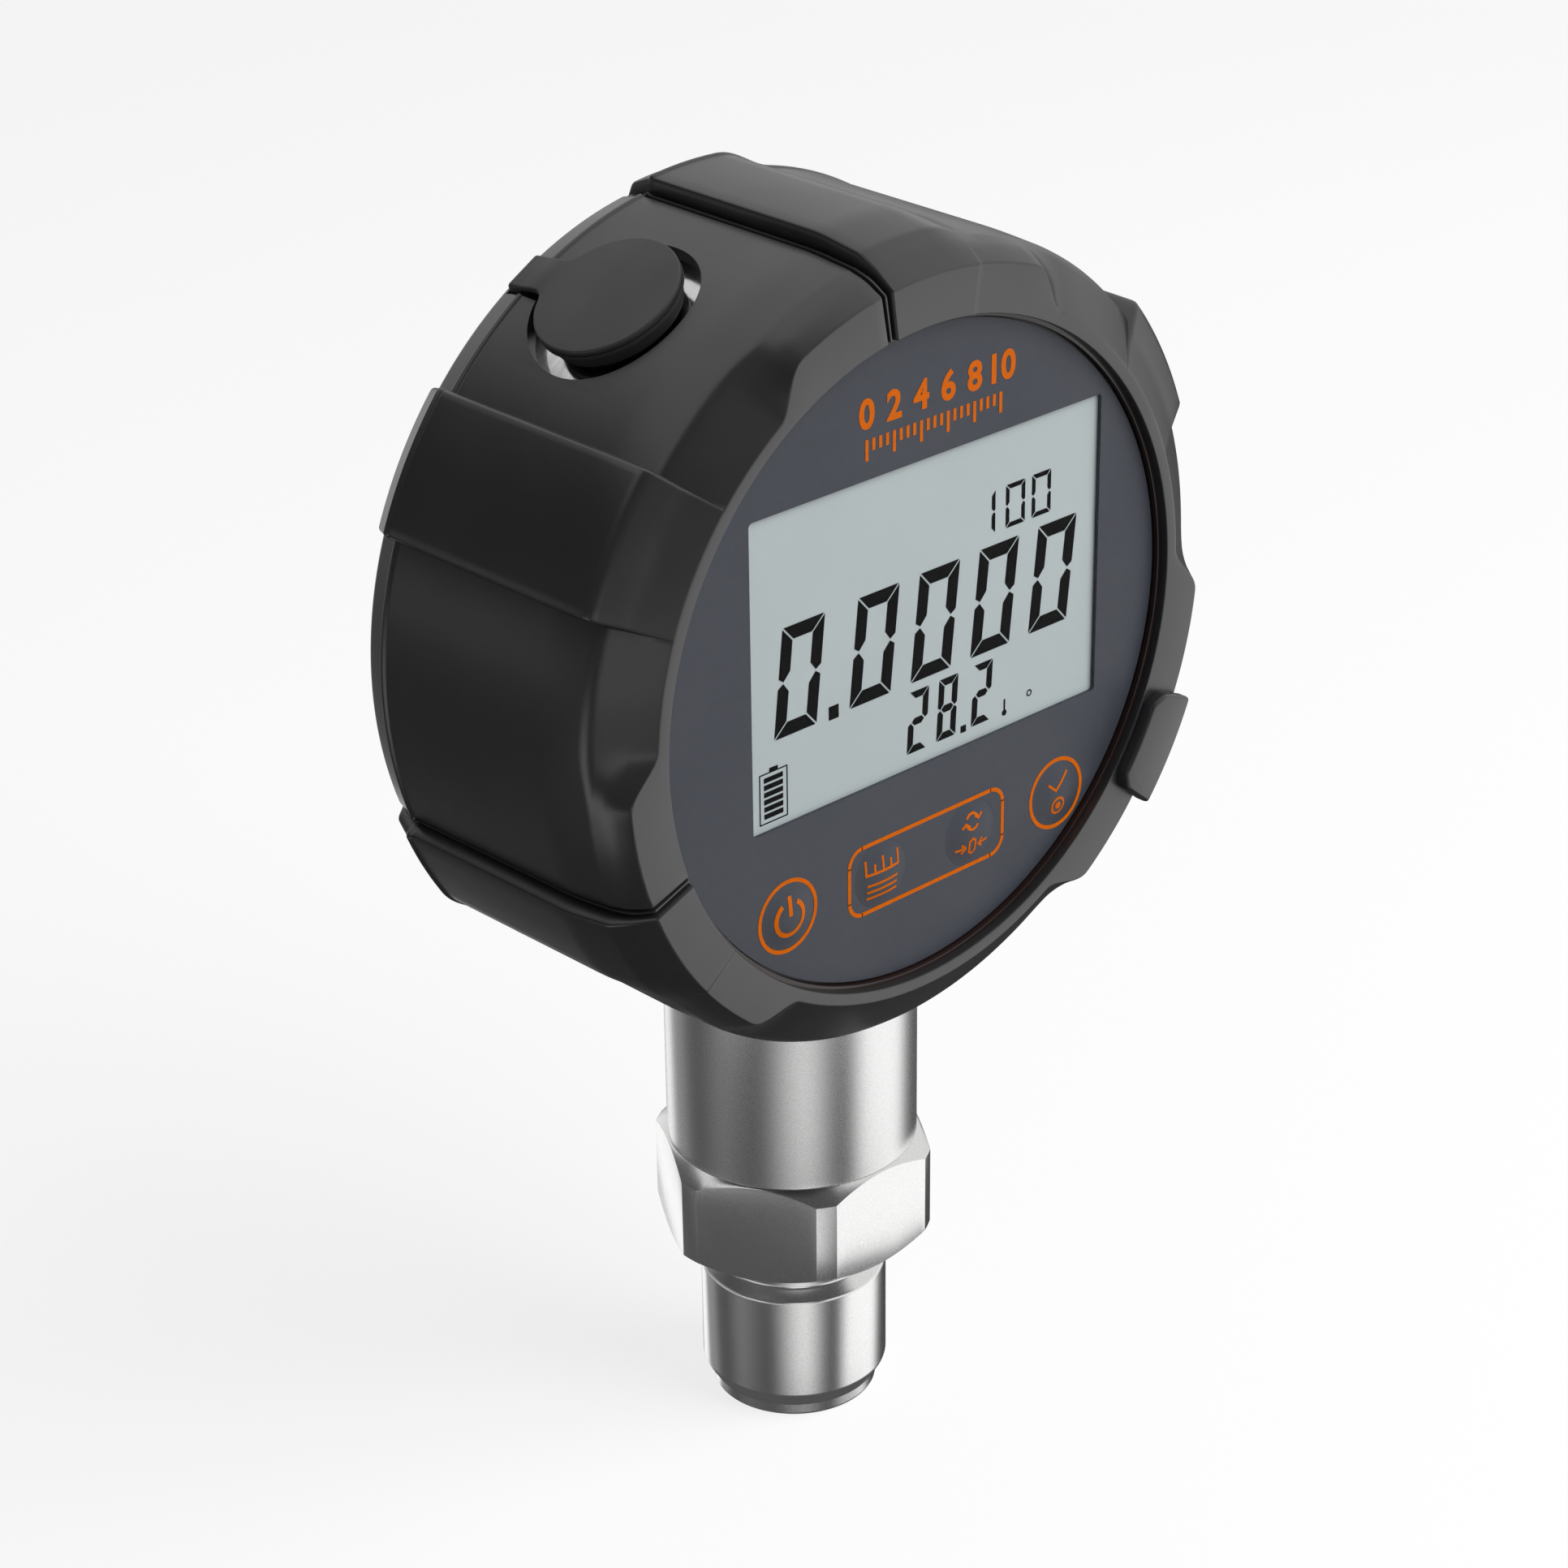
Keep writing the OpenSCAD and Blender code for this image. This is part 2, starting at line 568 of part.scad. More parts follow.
// place, width, height and thickness of each chip, as shares of the case's inside radius
chip_shares = [
  [0.367, -0.367, 0.236, 0.105, 0.058], [-0.157, -0.42, 0.131, 0.184, 0.047],
  [0.551, 0.63, 0.131, 0.105, 0.039], [0.157, 0.709, 0.21, 0.131, 0.052]
];
module board_parts() color([0.12, 0.12, 0.13]) {
  // logic and amplifier chips on the lower half, converters above the cell
  for (c = chip_shares) slab(board_back, board_back + c[4] * case_in_r)
    translate([c[0] * case_in_r, c[1] * case_in_r])
      square([c[2] * case_in_r, c[3] * case_in_r], center = true);
  // plug of the sensor cable
  slab(board_back, board_back + 4 * lip_t) translate([0, cable_z])
    square([9 * lip_t, 4 * lip_t], center = true);
}
cable_z = -0.709 * case_in_r;
head2_r = 1.9 * lip_t;
module board_screws() color([0.75, 0.75, 0.76]) {
  slab(board_back, board_back + 1.3 * lip_t) at_boss() difference() {
    circle(r = head2_r);
    square([2.4 * lip_t, lip_t * 0.5], center = true);
    square([lip_t * 0.5, 2.4 * lip_t], center = true);
  }
  slab(plate_back + 2 * lip_t, board_back + lip_t / 2) at_boss() circle(r = pilot_r);
}

// battery
foot_share = 0.577;
module battery_holder() color([0.1, 0.1, 0.11]) {
  slab(tray_back, tray_back + tray_t) translate([0, cell_up]) square([tray_out, tray_h], center = true);
  // end walls carry the contacts
  for (s = [-1, 1]) slab(tray_back, cell_dep + cell_d * 0.2)
    translate([s * (tray_len / 2 + end_t / 2), cell_up]) square([end_t, tray_h], center = true);
  // low side walls
  for (s = [-1, 1]) slab(tray_back, tray_back + tray_side)
    translate([0, cell_up + s * (tray_h / 2 - lip_t / 2)]) square([tray_out, lip_t], center = true);
  // feet on the board
  for (x = [-1, 1]) for (s = [-1, 1]) slab(board_back, tray_back + tray_t / 2)
    translate([x * foot_share * case_in_r, cell_up + s * (tray_h / 2 - 1.6 * lip_t)]) circle(r = 1.6 * lip_t);
}
module battery_cell() color([0.25, 0.45, 0.3])
  translate([-cell_len / 2, front_y + cell_dep, dial_z + cell_up]) rotate([0, 90, 0]) {
  cylinder(d = cell_d, h = cell_len - lip_t);
  translate([0, 0, cell_len - lip_t - over / 4]) cylinder(d = cell_d * 0.4, h = lip_t + over / 4);
}
module battery_contacts() color([0.8, 0.78, 0.7]) for (s = [-1, 1]) {
  // spring strip against each end of the cell
  slab(tray_back + tray_t, cell_dep + cell_d * 0.2) translate([s * (tray_len / 2 - lip_t * 0.2), cell_up])
    square([lip_t * 0.4, cell_d * 0.4], center = true);
  slab(cell_dep - cell_d * 0.12, cell_dep + cell_d * 0.12)
    translate([s * (tray_len / 2 - lip_t * 0.4), cell_up]) square([lip_t * 0.8, cell_d * 0.3], center = true);
}

// charging port
socket_w = 10 * lip_t;
socket_h = 3.7 * lip_t;
socket_len = 8.2 * lip_t;
socket_out = spigot_low - gap;
cboard_t = 1.1 * lip_t;
cboard_front = plug_dep + socket_h / 2;
module charge_socket() color([0.75, 0.76, 0.78]) on_barrel(socket_out - socket_len) difference() {
  linear_extrude(height = socket_len) rotated_slot(socket_w, socket_h);
  translate([0, 0, lip_t]) linear_extrude(height = socket_len) difference() {
    rotated_slot(socket_w - lip_t * 0.7, socket_h - lip_t * 0.7);
    square([socket_w * 0.72, lip_t * 0.8], center = true);
  }
}
module rotated_slot(w, h) {
  square([w - h, h], center = true);
  for (s = [-1, 1]) translate([s * (w - h) / 2, 0]) circle(d = h);
}
cboard_w_share = 0.4724;
cboard_h_share = 0.34;
cboard_w = cboard_w_share * case_in_r;
cboard_h = cboard_h_share * case_in_r;
cboard_mid = socket_out - socket_len / 2 - cboard_h * 0.28;
post_out = cboard_w / 2 - 2.2 * lip_t;
post_r = 1.6 * lip_t;
module in_port_plane(d0, d1) slab(d0, d1) rotate([0, 0, plug_at - 90]) children();
module at_post(s) translate([s * post_out, cboard_mid - cboard_h * 0.3]) children();
module charge_board() color([0.06, 0.3, 0.2])
  in_port_plane(cboard_front, cboard_front + cboard_t) difference() {
  translate([0, cboard_mid]) square([cboard_w, cboard_h], center = true);
  for (s = [-1, 1]) at_post(s) circle(r = pilot_r * 0.8);
}
module charge_posts() color([0.78, 0.68, 0.4]) {
  for (s = [-1, 1]) {
    in_port_plane(board_back, cboard_front) at_post(s) circle(r = post_r);
    in_port_plane(cboard_front + cboard_t, cboard_front + cboard_t + lip_t) at_post(s) circle(r = post_r);
    in_port_plane(cboard_front - over, cboard_front + cboard_t + lip_t) at_post(s) circle(r = pilot_r * 0.8);
  }
}
bush_low = spigot_low - lip_t * 0.2;
module port_bush() color([0.12, 0.12, 0.13]) difference() {
  on_barrel(bush_low) cylinder(r = bush_hole_r, h = case_r - bush_low - lip_t * 0.15);
  on_barrel(bush_low - over) cylinder(r = bush_in_r, h = case_wall * 4);
  // its outer face follows the case
  at_depth(boot_len) difference() {
    cylinder(r = case_r * 1.2, h = boot_len);
    cylinder(r = case_r - fit_gap, h = boot_len);
  }
}

// neck and process connection
spigot_h = 4.6 * lip_t;
module neck_tube() color([0.74, 0.75, 0.77]) difference() {
  translate([0, 0, hex_top]) cylinder(r = neck_r, h = dial_rise - case_in_r);
  translate([0, 0, hex_top - over]) cylinder(r = neck_in_r, h = dial_rise);
  // its top is shaped to the case
  slab(lip_t, case_back) circle(r = case_r);
}
capsule_r = neck_in_r - 2.5 * lip_t;
capsule_low = hex_top - hex_h * 0.62;
capsule_h = 9 * lip_t;
seal_t = 1.1 * lip_t;
ring_low = capsule_low + capsule_h;
ring_h = 2 * lip_t;
module process_body() color([0.76, 0.77, 0.79]) difference() {
  union() {
    rotate_extrude() polygon([
      [0, stub_low], [tip_d / 2, stub_low], [tip_d / 2, stub_low + tip_len],
      [tip_d / 2 + fit_gap, stub_low + tip_len], [stub_d / 2, -stub_full / 2], [stub_d / 2, stub_full / 2],
      [relief_d / 2, stub_full / 2 + relief_cone], [relief_d / 2, stub_top], [0, stub_top]]);
    intersection() {
      translate([0, 0, stub_top - over]) linear_extrude(height = hex_h + over)
        circle(d = hex_af / cos(30), $fn = 6);
      rotate_extrude() polygon([
        [0, stub_top], [hex_turned_d / 2 - hex_low_bevel * 1.4, stub_top],
        [hex_turned_d / 2, stub_top + hex_low_bevel],
        [hex_turned_d / 2, hex_top - hex_top_bevel], [neck_r, hex_top], [0, hex_top]]);
    }
    // spigot that centres the neck tube
    translate([0, 0, hex_top - over]) cylinder(r = neck_in_r - fit_gap, h = spigot_h + over);
  }
  translate([0, 0, stub_low - over]) cylinder(d = port_d, h = hex_top - stub_low);
  translate([0, 0, capsule_low]) cylinder(r = capsule_r + fit_gap, h = hex_h + spigot_h);
}
module sensor_capsule() color([0.8, 0.8, 0.82]) difference() {
  rotate_extrude() polygon([
    [0, capsule_low + seal_t], [capsule_r - 2.4 * lip_t, capsule_low + seal_t],
    [capsule_r - 2.4 * lip_t, capsule_low + lip_t * 0.3],
    [capsule_r - 2.2 * lip_t, capsule_low + lip_t * 0.3], [capsule_r - 2.2 * lip_t, capsule_low + seal_t],
    [capsule_r, capsule_low + seal_t], [capsule_r, ring_low], [capsule_r * 0.62, ring_low],
    [capsule_r * 0.62, ring_low - lip_t], [0, ring_low - lip_t]]);
  // dished diaphragm
  translate([0, 0, capsule_low]) cylinder(r = capsule_r * 0.45, h = seal_t + lip_t * 0.4);
}
module sensor_seal() color([0.1, 0.1, 0.1]) translate([0, 0, capsule_low]) difference() {
  cylinder(r = capsule_r, h = seal_t);
  translate([0, 0, -over]) cylinder(r = capsule_r - 2 * lip_t, h = seal_t + 2 * over);
}
module sensor_ring() color([0.7, 0.7, 0.72]) translate([0, 0, ring_low]) difference() {
  cylinder(r = capsule_r, h = ring_h);
  translate([0, 0, -over]) cylinder(r = capsule_r * 0.66, h = ring_h + 2 * over);
  // two slots for the driver
  translate([0, 0, ring_h - lip_t]) for (s = [-1, 1]) translate([s * capsule_r * 0.83, 0, 0])
    cylinder(r = lip_t, h = lip_t + over);
}
wire_r = 0.5 * lip_t;
wire_xs = [-2.4 * lip_t, -0.8 * lip_t, 0.8 * lip_t, 2.4 * lip_t];
wire_bend = 4 * lip_t;
plug_y = front_y + board_back + 4 * lip_t;
plug_z = dial_z + cable_z;
wire_low = ring_low - lip_t;
module sensor_wires() color([0.7, 0.12, 0.1]) for (x = wire_xs) translate([x, 0, 0]) {
  translate([0, 0, wire_low]) cylinder(r = wire_r, h = plug_z - wire_bend - wire_low);
  // bend towards the board
  translate([0, -wire_bend, plug_z - wire_bend]) rotate([90, 0, 90]) rotate_extrude(angle = 90)
    translate([wire_bend, 0]) circle(r = wire_r);
  translate([0, -wire_bend, plug_z]) rotate([90, 0, 0]) cylinder(r = wire_r, h = -wire_bend - plug_y);
}
grommet_r = cable_hole_r - fit_gap;
module wire_grommet() color([0.09, 0.09, 0.09]) translate([0, 0, dial_z - case_r]) difference() {
  translate([0, 0, lip_t * 0.4]) cylinder(r = grommet_r, h = case_wall + 1.6 * lip_t);
  cylinder(r = wire_xs[3] + wire_r + gap, h = case_wall * 4);
}

boot();
port_plug();
case_shell();
rear_cover();
rear_gasket();
rear_screws();
bezel_ring();
bezel_seal();
front_film();
front_plate();
window_pane();
lcd_glass();
lcd_backlight();
lcd_strips();
key_power();
key_unit();
key_mode();
key_set();
key_switches();
main_board();
board_parts();
board_screws();
battery_holder();
battery_cell();
battery_contacts();
charge_board();
charge_socket();
charge_posts();
port_bush();
neck_tube();
process_body();
sensor_capsule();
sensor_seal();
sensor_ring();
sensor_wires();
wire_grommet();
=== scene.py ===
"""Looks of the digital pressure gauge, laid out as a Blender add-on and run as a script."""

import math

import bmesh
import bpy
from mathutils import Matrix, Vector


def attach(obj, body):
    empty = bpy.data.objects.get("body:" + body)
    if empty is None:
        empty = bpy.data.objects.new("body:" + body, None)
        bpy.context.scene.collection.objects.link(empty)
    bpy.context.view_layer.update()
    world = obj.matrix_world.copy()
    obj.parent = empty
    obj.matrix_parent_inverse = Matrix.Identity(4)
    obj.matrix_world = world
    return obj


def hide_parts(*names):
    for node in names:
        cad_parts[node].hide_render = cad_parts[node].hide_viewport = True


bl_info = {
    "name": "Digital pressure gauge",
    "version": (1, 0, 0),
    "blender": (4, 5, 0),
    "location": "View3D > Sidebar > Gauge",
    "description": "Builds the visible pieces and finishes of a digital pressure gauge",
    "category": "Object",
}

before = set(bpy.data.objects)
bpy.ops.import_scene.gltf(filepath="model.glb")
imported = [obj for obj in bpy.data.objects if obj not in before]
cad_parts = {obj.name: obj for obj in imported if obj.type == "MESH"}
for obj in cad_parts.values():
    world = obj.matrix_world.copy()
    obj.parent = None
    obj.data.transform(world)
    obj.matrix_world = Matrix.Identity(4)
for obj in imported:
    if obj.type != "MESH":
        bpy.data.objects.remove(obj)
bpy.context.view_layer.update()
MM = 0.001


def length(name, value, text):
    """A size that shows in the sidebar; its default is given in millimetres."""
    return bpy.props.FloatProperty(
        name=name, description=text, default=value * MM, soft_min=0.0, precision=5,
        unit="LENGTH", subtype="DISTANCE",
    )


def shade(name, value, text):
    """A colour that shows in the sidebar."""
    return bpy.props.FloatVectorProperty(
        name=name, description=text, default=value, min=0.0, max=1.0, size=3, subtype="COLOR"
    )


class GaugeSizes(bpy.types.PropertyGroup):
    """Sizes of the gauge."""

    dial_z: length("Dial height", 82.5, "Height of the dial's centre above the middle of the stub")
    neck_set: length("Neck set-back", 20.5, "Distance from the front lip back to the neck's axis")
    open_r: length("Opening radius", 34.1, "Radius of the round opening in front of the dial")
    lip_t: length("Lip thickness", 0.9, "Thickness of the boot's front lip")
    valley_r: length("Valley radius", 35.4, "Radius of the lip's outline in its valleys")
    lobe_r: length("Raised radius", 39.0, "Radius of the lip's outline on its raised thirds")
    ring_d: length("Bevel depth", 3.9, "Depth of the ring where the bevel meets the barrel")
    ring_r: length("Bevel radius", 40.8, "Radius of the ring where the bevel meets the barrel")
    barrel_front_r: length("Barrel front radius", 41.4, "Radius of the barrel behind the bevel")
    barrel_back_r: length("Barrel back radius", 41.9, "Radius of the barrel at its back")
    band_r: length("Back band radius", 40.7, "Radius of the rounded back band")
    boot_len: length("Boot depth", 35.9, "Depth of the whole boot")
    pad_h: length("Pad height", 1.8, "Height of the grip pads above the barrel")
    block_h: length("Block height", 1.6, "Height of the strap blocks above the barrel")
    groove_deep: length("Groove depth", 0.7, "Depth of the two grooves")
    tab_h: length("Tab height", 1.495, "Height of the pull tab in front of the lip")
    case_r: length("Case radius", 39.8, "Outside radius of the steel case")
    case_in_r: length("Case inside radius", 38.1, "Inside radius of the steel case")
    case_len: length("Case depth", 30.1, "Depth of the steel case with its cover")
    plug_dep: length("Plug depth", 21.4, "Depth of the plug's centre behind the lip")
    cap_d: length("Cap diameter", 14.8, "Diameter of the plug's cap")
    cap_t: length("Cap thickness", 1.2, "Thickness of the plug's cap")
    cap_top: length("Cap radius", 42.9, "Distance of the cap's face from the barrel's axis")
    spigot_d: length("Spigot diameter", 8.2, "Diameter of the plug's spigot")
    well_d: length("Well diameter", 17.5, "Diameter of the hole around the plug")
    strap_w: length("Strap width", 4.2, "Width of the plug's tether strap")
    strap_t: length("Strap thickness", 0.7, "Thickness of the plug's tether strap")
    neck_d: length("Neck diameter", 26.6, "Outside diameter of the neck tube")
    neck_wall: length("Neck wall", 1.5, "Wall of the neck tube")
    neck_len: length("Neck length", 20.5, "Length of the neck tube above the hexagon")
    hex_low: length("Hexagon foot", 10.5, "Height of the hexagon's lower face")
    hex_top: length("Hexagon top", 21.9, "Height of the hexagon's upper face")
    hex_af: length("Hexagon width", 27.0, "Width of the hexagon across its flats")
    hex_turned_d: length("Turned corners", 30.0, "Diameter that the hexagon's corners are turned to")
    stub_d: length("Stub diameter", 20.0, "Outside diameter of the screwed stub")
    stub_low: length("Stub end", -9.5, "Height of the stub's end")
    stub_top: length("Stub top", 5.6, "Height where the stub's full diameter ends")
    bevel_top: length("Bevel top", -6.4, "Height where the bevel at the stub's end begins")
    relief_d: length("Relief diameter", 17.8, "Diameter of the relief under the hexagon")
    relief_low: length("Relief foot", 6.9, "Height where the relief under the hexagon begins")
    tip_d: length("Tip diameter", 17.7, "Diameter of the plain ring at the stub's tip")
    tip_len: length("Tip length", 1.4, "Length of the plain ring at the stub's tip")
    port_d: length("Port diameter", 5.0, "Diameter of the pressure port")
    panel_dep: length("Panel depth", 1.5, "Depth of the printed panel behind the lip")
    lcd_dep: length("Display depth", 2.005, "Depth of the display's face behind the lip")
    key_d: length("Key diameter", 6.6, "Diameter of a key's dome")
    line_w: length("Printed line", 0.42, "Width of the orange printed lines")


class GaugeFinishes(bpy.types.PropertyGroup):
    """Colours of the gauge."""

    rubber: shade("Boot rubber", (0.02, 0.02, 0.0205), "Dark rubber of the boot")
    plug: shade("Plug rubber", (0.024, 0.024, 0.0245), "Dark rubber of the plug")
    steel: shade("Turned steel", (0.84, 0.84, 0.835), "Finely turned stainless steel")
    case_steel: shade("Polished steel", (0.7, 0.7, 0.71), "Polished steel of the case")
    # the ring is black; the reddish tint in its colour is a painted reflection
    black_with_painted_red_reflection: shade("Bezel black", (0.02, 0.011, 0.010), "Gloss black of the ring inside the lip")
    panel: shade("Panel grey", (0.042, 0.047, 0.061), "Blue-grey of the printed panel")
    orange: shade("Print orange", (0.67, 0.132, 0.0), "Orange of the printed lines")
    display: shade("Display grey", (0.515, 0.58, 0.59), "Green-grey of the display")
    figures: shade("Figure black", (0.004, 0.004, 0.004), "Black of the display's figures")


def sizes():
    return bpy.context.scene.gauge_sizes


def finishes():
    return bpy.context.scene.gauge_finishes


# materials


def tree_of(block):
    """Turns on the nodes of a material or a world and returns their tree."""
    block.use_nodes = True
    return block.node_tree


def feed(node, **values):
    """Sets inputs of a node; an output given as a value is linked to the input."""
    for key, value in values.items():
        socket = node.inputs[key.replace("_", " ")]
        if isinstance(value, bpy.types.NodeSocket):
            node.id_data.links.new(value, socket)
        else:
            socket.default_value = value
    return node


def add(tree, kind, **values):
    """Adds a shader node and sets its inputs."""
    return feed(tree.nodes.new("ShaderNode" + kind), **values)


class Recipe:
    """A procedural material on the piece's own coordinates."""

    def __init__(self, name):
        self.material = bpy.data.materials.new(name)
        self.tree = tree_of(self.material)
        self.shader = self.tree.nodes["Principled BSDF"]
        self.place = add(self.tree, "TexCoord").outputs["Object"]

    def grain(self, scale, detail=3.0, rough=0.55, stretch=None):
        """Noise of so many grains per metre, stretched along one direction where asked."""
        place = self.place
        if stretch:
            place = add(self.tree, "Mapping", Vector=place, Scale=stretch).outputs["Vector"]
        noise = add(self.tree, "TexNoise", Vector=place, Scale=scale, Detail=detail, Roughness=rough)
        return noise.outputs["Fac"]

    def roughness(self, fac, low, high):
        """Makes the roughness run from low to high with the noise."""
        span = add(self.tree, "MapRange", Value=fac, From_Min=0.3, From_Max=0.7, To_Min=low, To_Max=high)
        feed(self.shader, Roughness=span.outputs["Result"])

    def tint(self, fac, colour, low, high):
        """The colour, darker and lighter with the noise."""
        ramp = add(self.tree, "ValToRGB", Fac=fac)
        for mark, position, share in zip(ramp.color_ramp.elements, (0.35, 0.65), (low, high)):
            mark.position = position
            mark.color = [min(1.0, c * share) for c in colour] + [1.0]
        feed(self.shader, Base_Color=ramp.outputs["Color"])

    def bump(self, fac, depth, strength):
        """Raises the surface by depth metres with the noise, on top of an earlier bump."""
        node = add(self.tree, "Bump", Height=fac, Distance=depth, Strength=strength)
        earlier = self.shader.inputs["Normal"].links
        if earlier:
            feed(node, Normal=earlier[0].from_socket)
        feed(self.shader, Normal=node.outputs["Normal"])

    def done(self, **values):
        """Sets values on the shader's own sockets and returns the material."""
        feed(self.shader, **values)
        return self.material


def moulded_rubber(name, colour, rough=(0.28, 0.36)):
    """Moulded rubber: a fine spark-eroded grain and faint flow marks."""
    r = Recipe(name)
    r.tint(r.grain(160.0, 4.0), colour, 0.92, 1.08)
    r.roughness(r.grain(60.0), *rough)
    r.bump(r.grain(5200.0, 2.0), 0.000012, 0.35)
    r.bump(r.grain(420.0, 2.0), 0.00002, 0.15)
    return r.done(Specular_IOR_Level=0.85)


def turned_steel(name, colour, rough=(0.24, 0.32), grain=0.2):
    """Stainless steel: satin from fine turning, with a very fine grain."""
    r = Recipe(name)
    r.tint(r.grain(5200.0, 2.0, 0.6), colour, 0.95, 1.03)
    r.roughness(r.grain(9000.0, 2.0), *rough)
    r.bump(r.grain(7000.0, 2.0, 0.6), 0.000003, grain)
    r.bump(r.grain(500.0, 2.0, stretch=(0.3, 0.3, 14.0)), 0.0000005, grain)
    return r.done(Metallic=1.0)


def polished_steel(name, colour):
    """Polished sheet metal with faint wipe marks."""
    r = Recipe(name)
    r.tint(r.grain(300.0), colour, 0.94, 1.04)
    r.roughness(r.grain(180.0, 4.0, stretch=(1.0, 6.0, 1.0)), 0.08, 0.2)
    r.bump(r.grain(2000.0, 2.0), 0.000004, 0.12)
    return r.done(Metallic=1.0)


def gloss_plastic(name, colour, rough=(0.08, 0.16)):
    """Gloss moulding with slight ripple."""
    r = Recipe(name)
    r.tint(r.grain(240.0), colour, 0.93, 1.07)
    r.roughness(r.grain(90.0), *rough)
    r.bump(r.grain(500.0, 2.0), 0.00001, 0.08)
    return r.done()


def satin_film(name, colour):
    """Printed film: a very fine even texture under a satin coat."""
    r = Recipe(name)
    r.tint(r.grain(900.0, 4.0), colour, 0.96, 1.04)
    r.roughness(r.grain(70.0, 2.0), 0.42, 0.5)
    r.bump(r.grain(7000.0, 2.0), 0.000006, 0.2)
    return r.done(Specular_IOR_Level=0.35)


def printed_ink(name, colour, rough=(0.4, 0.5), gloss=0.06):
    """Screen-printed ink, a little uneven in its cover."""
    r = Recipe(name)
    r.tint(r.grain(1500.0), colour, 0.96, 1.04)
    r.roughness(r.grain(400.0, 2.0), *rough)
    r.bump(r.grain(6000.0, 2.0), 0.000004, 0.2)
    return r.done(Specular_IOR_Level=gloss)


def display_face(name, colour):
    """Reflective display: a pale green-grey with a faint cell pattern."""
    r = Recipe(name)
    r.tint(r.grain(60.0), colour, 0.985, 1.015)
    r.roughness(r.grain(500.0), 0.38, 0.46)
    r.bump(r.grain(9000.0, 1.0), 0.000003, 0.15)
    return r.done()


def clear_window(name):
    """Clear pane that shows only its gloss."""
    r = Recipe(name)
    r.tint(r.grain(100.0, 2.0), (0.02, 0.022, 0.022), 0.98, 1.02)
    r.roughness(r.grain(120.0, 2.0), 0.03, 0.07)
    r.bump(r.grain(300.0, 2.0), 0.000002, 0.05)
    return r.done(Alpha=0.03)


def coloured_plastic(name, colour):
    """Moulded technical plastic."""
    r = Recipe(name)
    r.tint(r.grain(700.0, 4.0), colour, 0.92, 1.08)
    r.roughness(r.grain(300.0), 0.4, 0.5)
    r.bump(r.grain(3000.0), 0.00001, 0.25)
    return r.done()


# mesh helpers

# points closer than this are one
MERGE = 1e-7


def as_object(bm, name):
    """Makes a linked object of a bmesh."""
    mesh = bpy.data.meshes.new(name)
    bm.to_mesh(mesh)
    bm.free()
    made = bpy.data.objects.new(name, mesh)
    bpy.context.scene.collection.objects.link(made)
    return made


def new_piece(name, bm, material, body="gauge", replaces=(), sharp=35.0):
    """Makes a finished piece: smooth faces with sharp edges, its finish and its body."""
    for face in bm.faces:
        face.smooth = True
    limit = math.radians(sharp)
    for edge in bm.edges:
        edge.smooth = len(edge.link_faces) != 2 or edge.calc_face_angle(0.0) < limit
    piece = as_object(bm, name)
    piece.data.materials.append(material)
    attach(piece, body)
    if replaces:
        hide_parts(*replaces)


def take_in(bm, part):
    """Adds the geometry of a part to a bmesh."""
    mesh = bpy.data.meshes.new("part")
    part.to_mesh(mesh)
    part.free()
    bm.from_mesh(mesh)
    bpy.data.meshes.remove(mesh)


def turn(bm, points, centre, axis, start, steps):
    """Spins a closed profile of (radius, distance along the axis) points round an axis."""
    axis = Vector(axis)
    start = Vector(start)
    centre = Vector(centre)
    verts = [bm.verts.new(centre + start * r + axis * h) for r, h in points]
    edges = [bm.edges.new(pair) for pair in zip(verts, verts[1:] + verts[:1])]
    bmesh.ops.spin(
        bm, geom=verts + edges, cent=centre, axis=axis, angle=math.tau, steps=steps, use_merge=True
    )
    bmesh.ops.remove_doubles(bm, verts=bm.verts[:], dist=MERGE)
    bmesh.ops.recalc_face_normals(bm, faces=bm.faces[:])


def rounded(points):
    """Rounds the corners of a closed profile; each is (radius, height) or (radius, height, fillet)."""
    out = []
    count = len(points)
    for i, point in enumerate(points):
        here = Vector(point[:2])
        fillet = point[2] if len(point) > 2 else 0.0
        if fillet <= 0:
            out.append(tuple(here))
            continue
        back = Vector(points[i - 1][:2]) - here
        ahead = Vector(points[(i + 1) % count][:2]) - here
        near = min(fillet, 0.48 * back.length, 0.48 * ahead.length)
        a = here + back.normalized() * near
        b = here + ahead.normalized() * near
        for k in range(5):
            t = k / 4
            out.append(tuple(a * (1 - t) ** 2 + here * 2 * t * (1 - t) + b * t**2))
    return out


def soften(bm, offset, degrees, segments):
    """Bevels every edge sharper than the angle."""
    limit = math.radians(degrees)
    edges = [e for e in bm.edges if e.is_manifold and e.calc_face_angle(0.0) > limit]
    bmesh.ops.bevel(
        bm, geom=edges, offset=offset, offset_type="OFFSET", segments=segments, profile=0.5,
        affect="EDGES", material=-1, clamp_overlap=True,
    )


def thicken(bm, faces, way):
    """Extrudes faces along a vector."""
    grown = bmesh.ops.extrude_face_region(bm, geom=faces)["geom"]
    bmesh.ops.translate(bm, vec=way, verts=[g for g in grown if isinstance(g, bmesh.types.BMVert)])


def plate(bm, outline, place, way):
    """A flat plate with the given outline; place turns a pair of its points' values into a point."""
    verts = [bm.verts.new(place(x, z)) for x, z in outline]
    thicken(bm, bmesh.ops.contextual_create(bm, geom=verts)["faces"], way)


def slice_off(bm, at, way, **options):
    """Cuts a bmesh along a plane; returns what was cut."""
    everything = bm.verts[:] + bm.edges[:] + bm.faces[:]
    return bmesh.ops.bisect_plane(
        bm, geom=everything, dist=MERGE, plane_co=at, plane_no=way, **options
    )["geom_cut"]


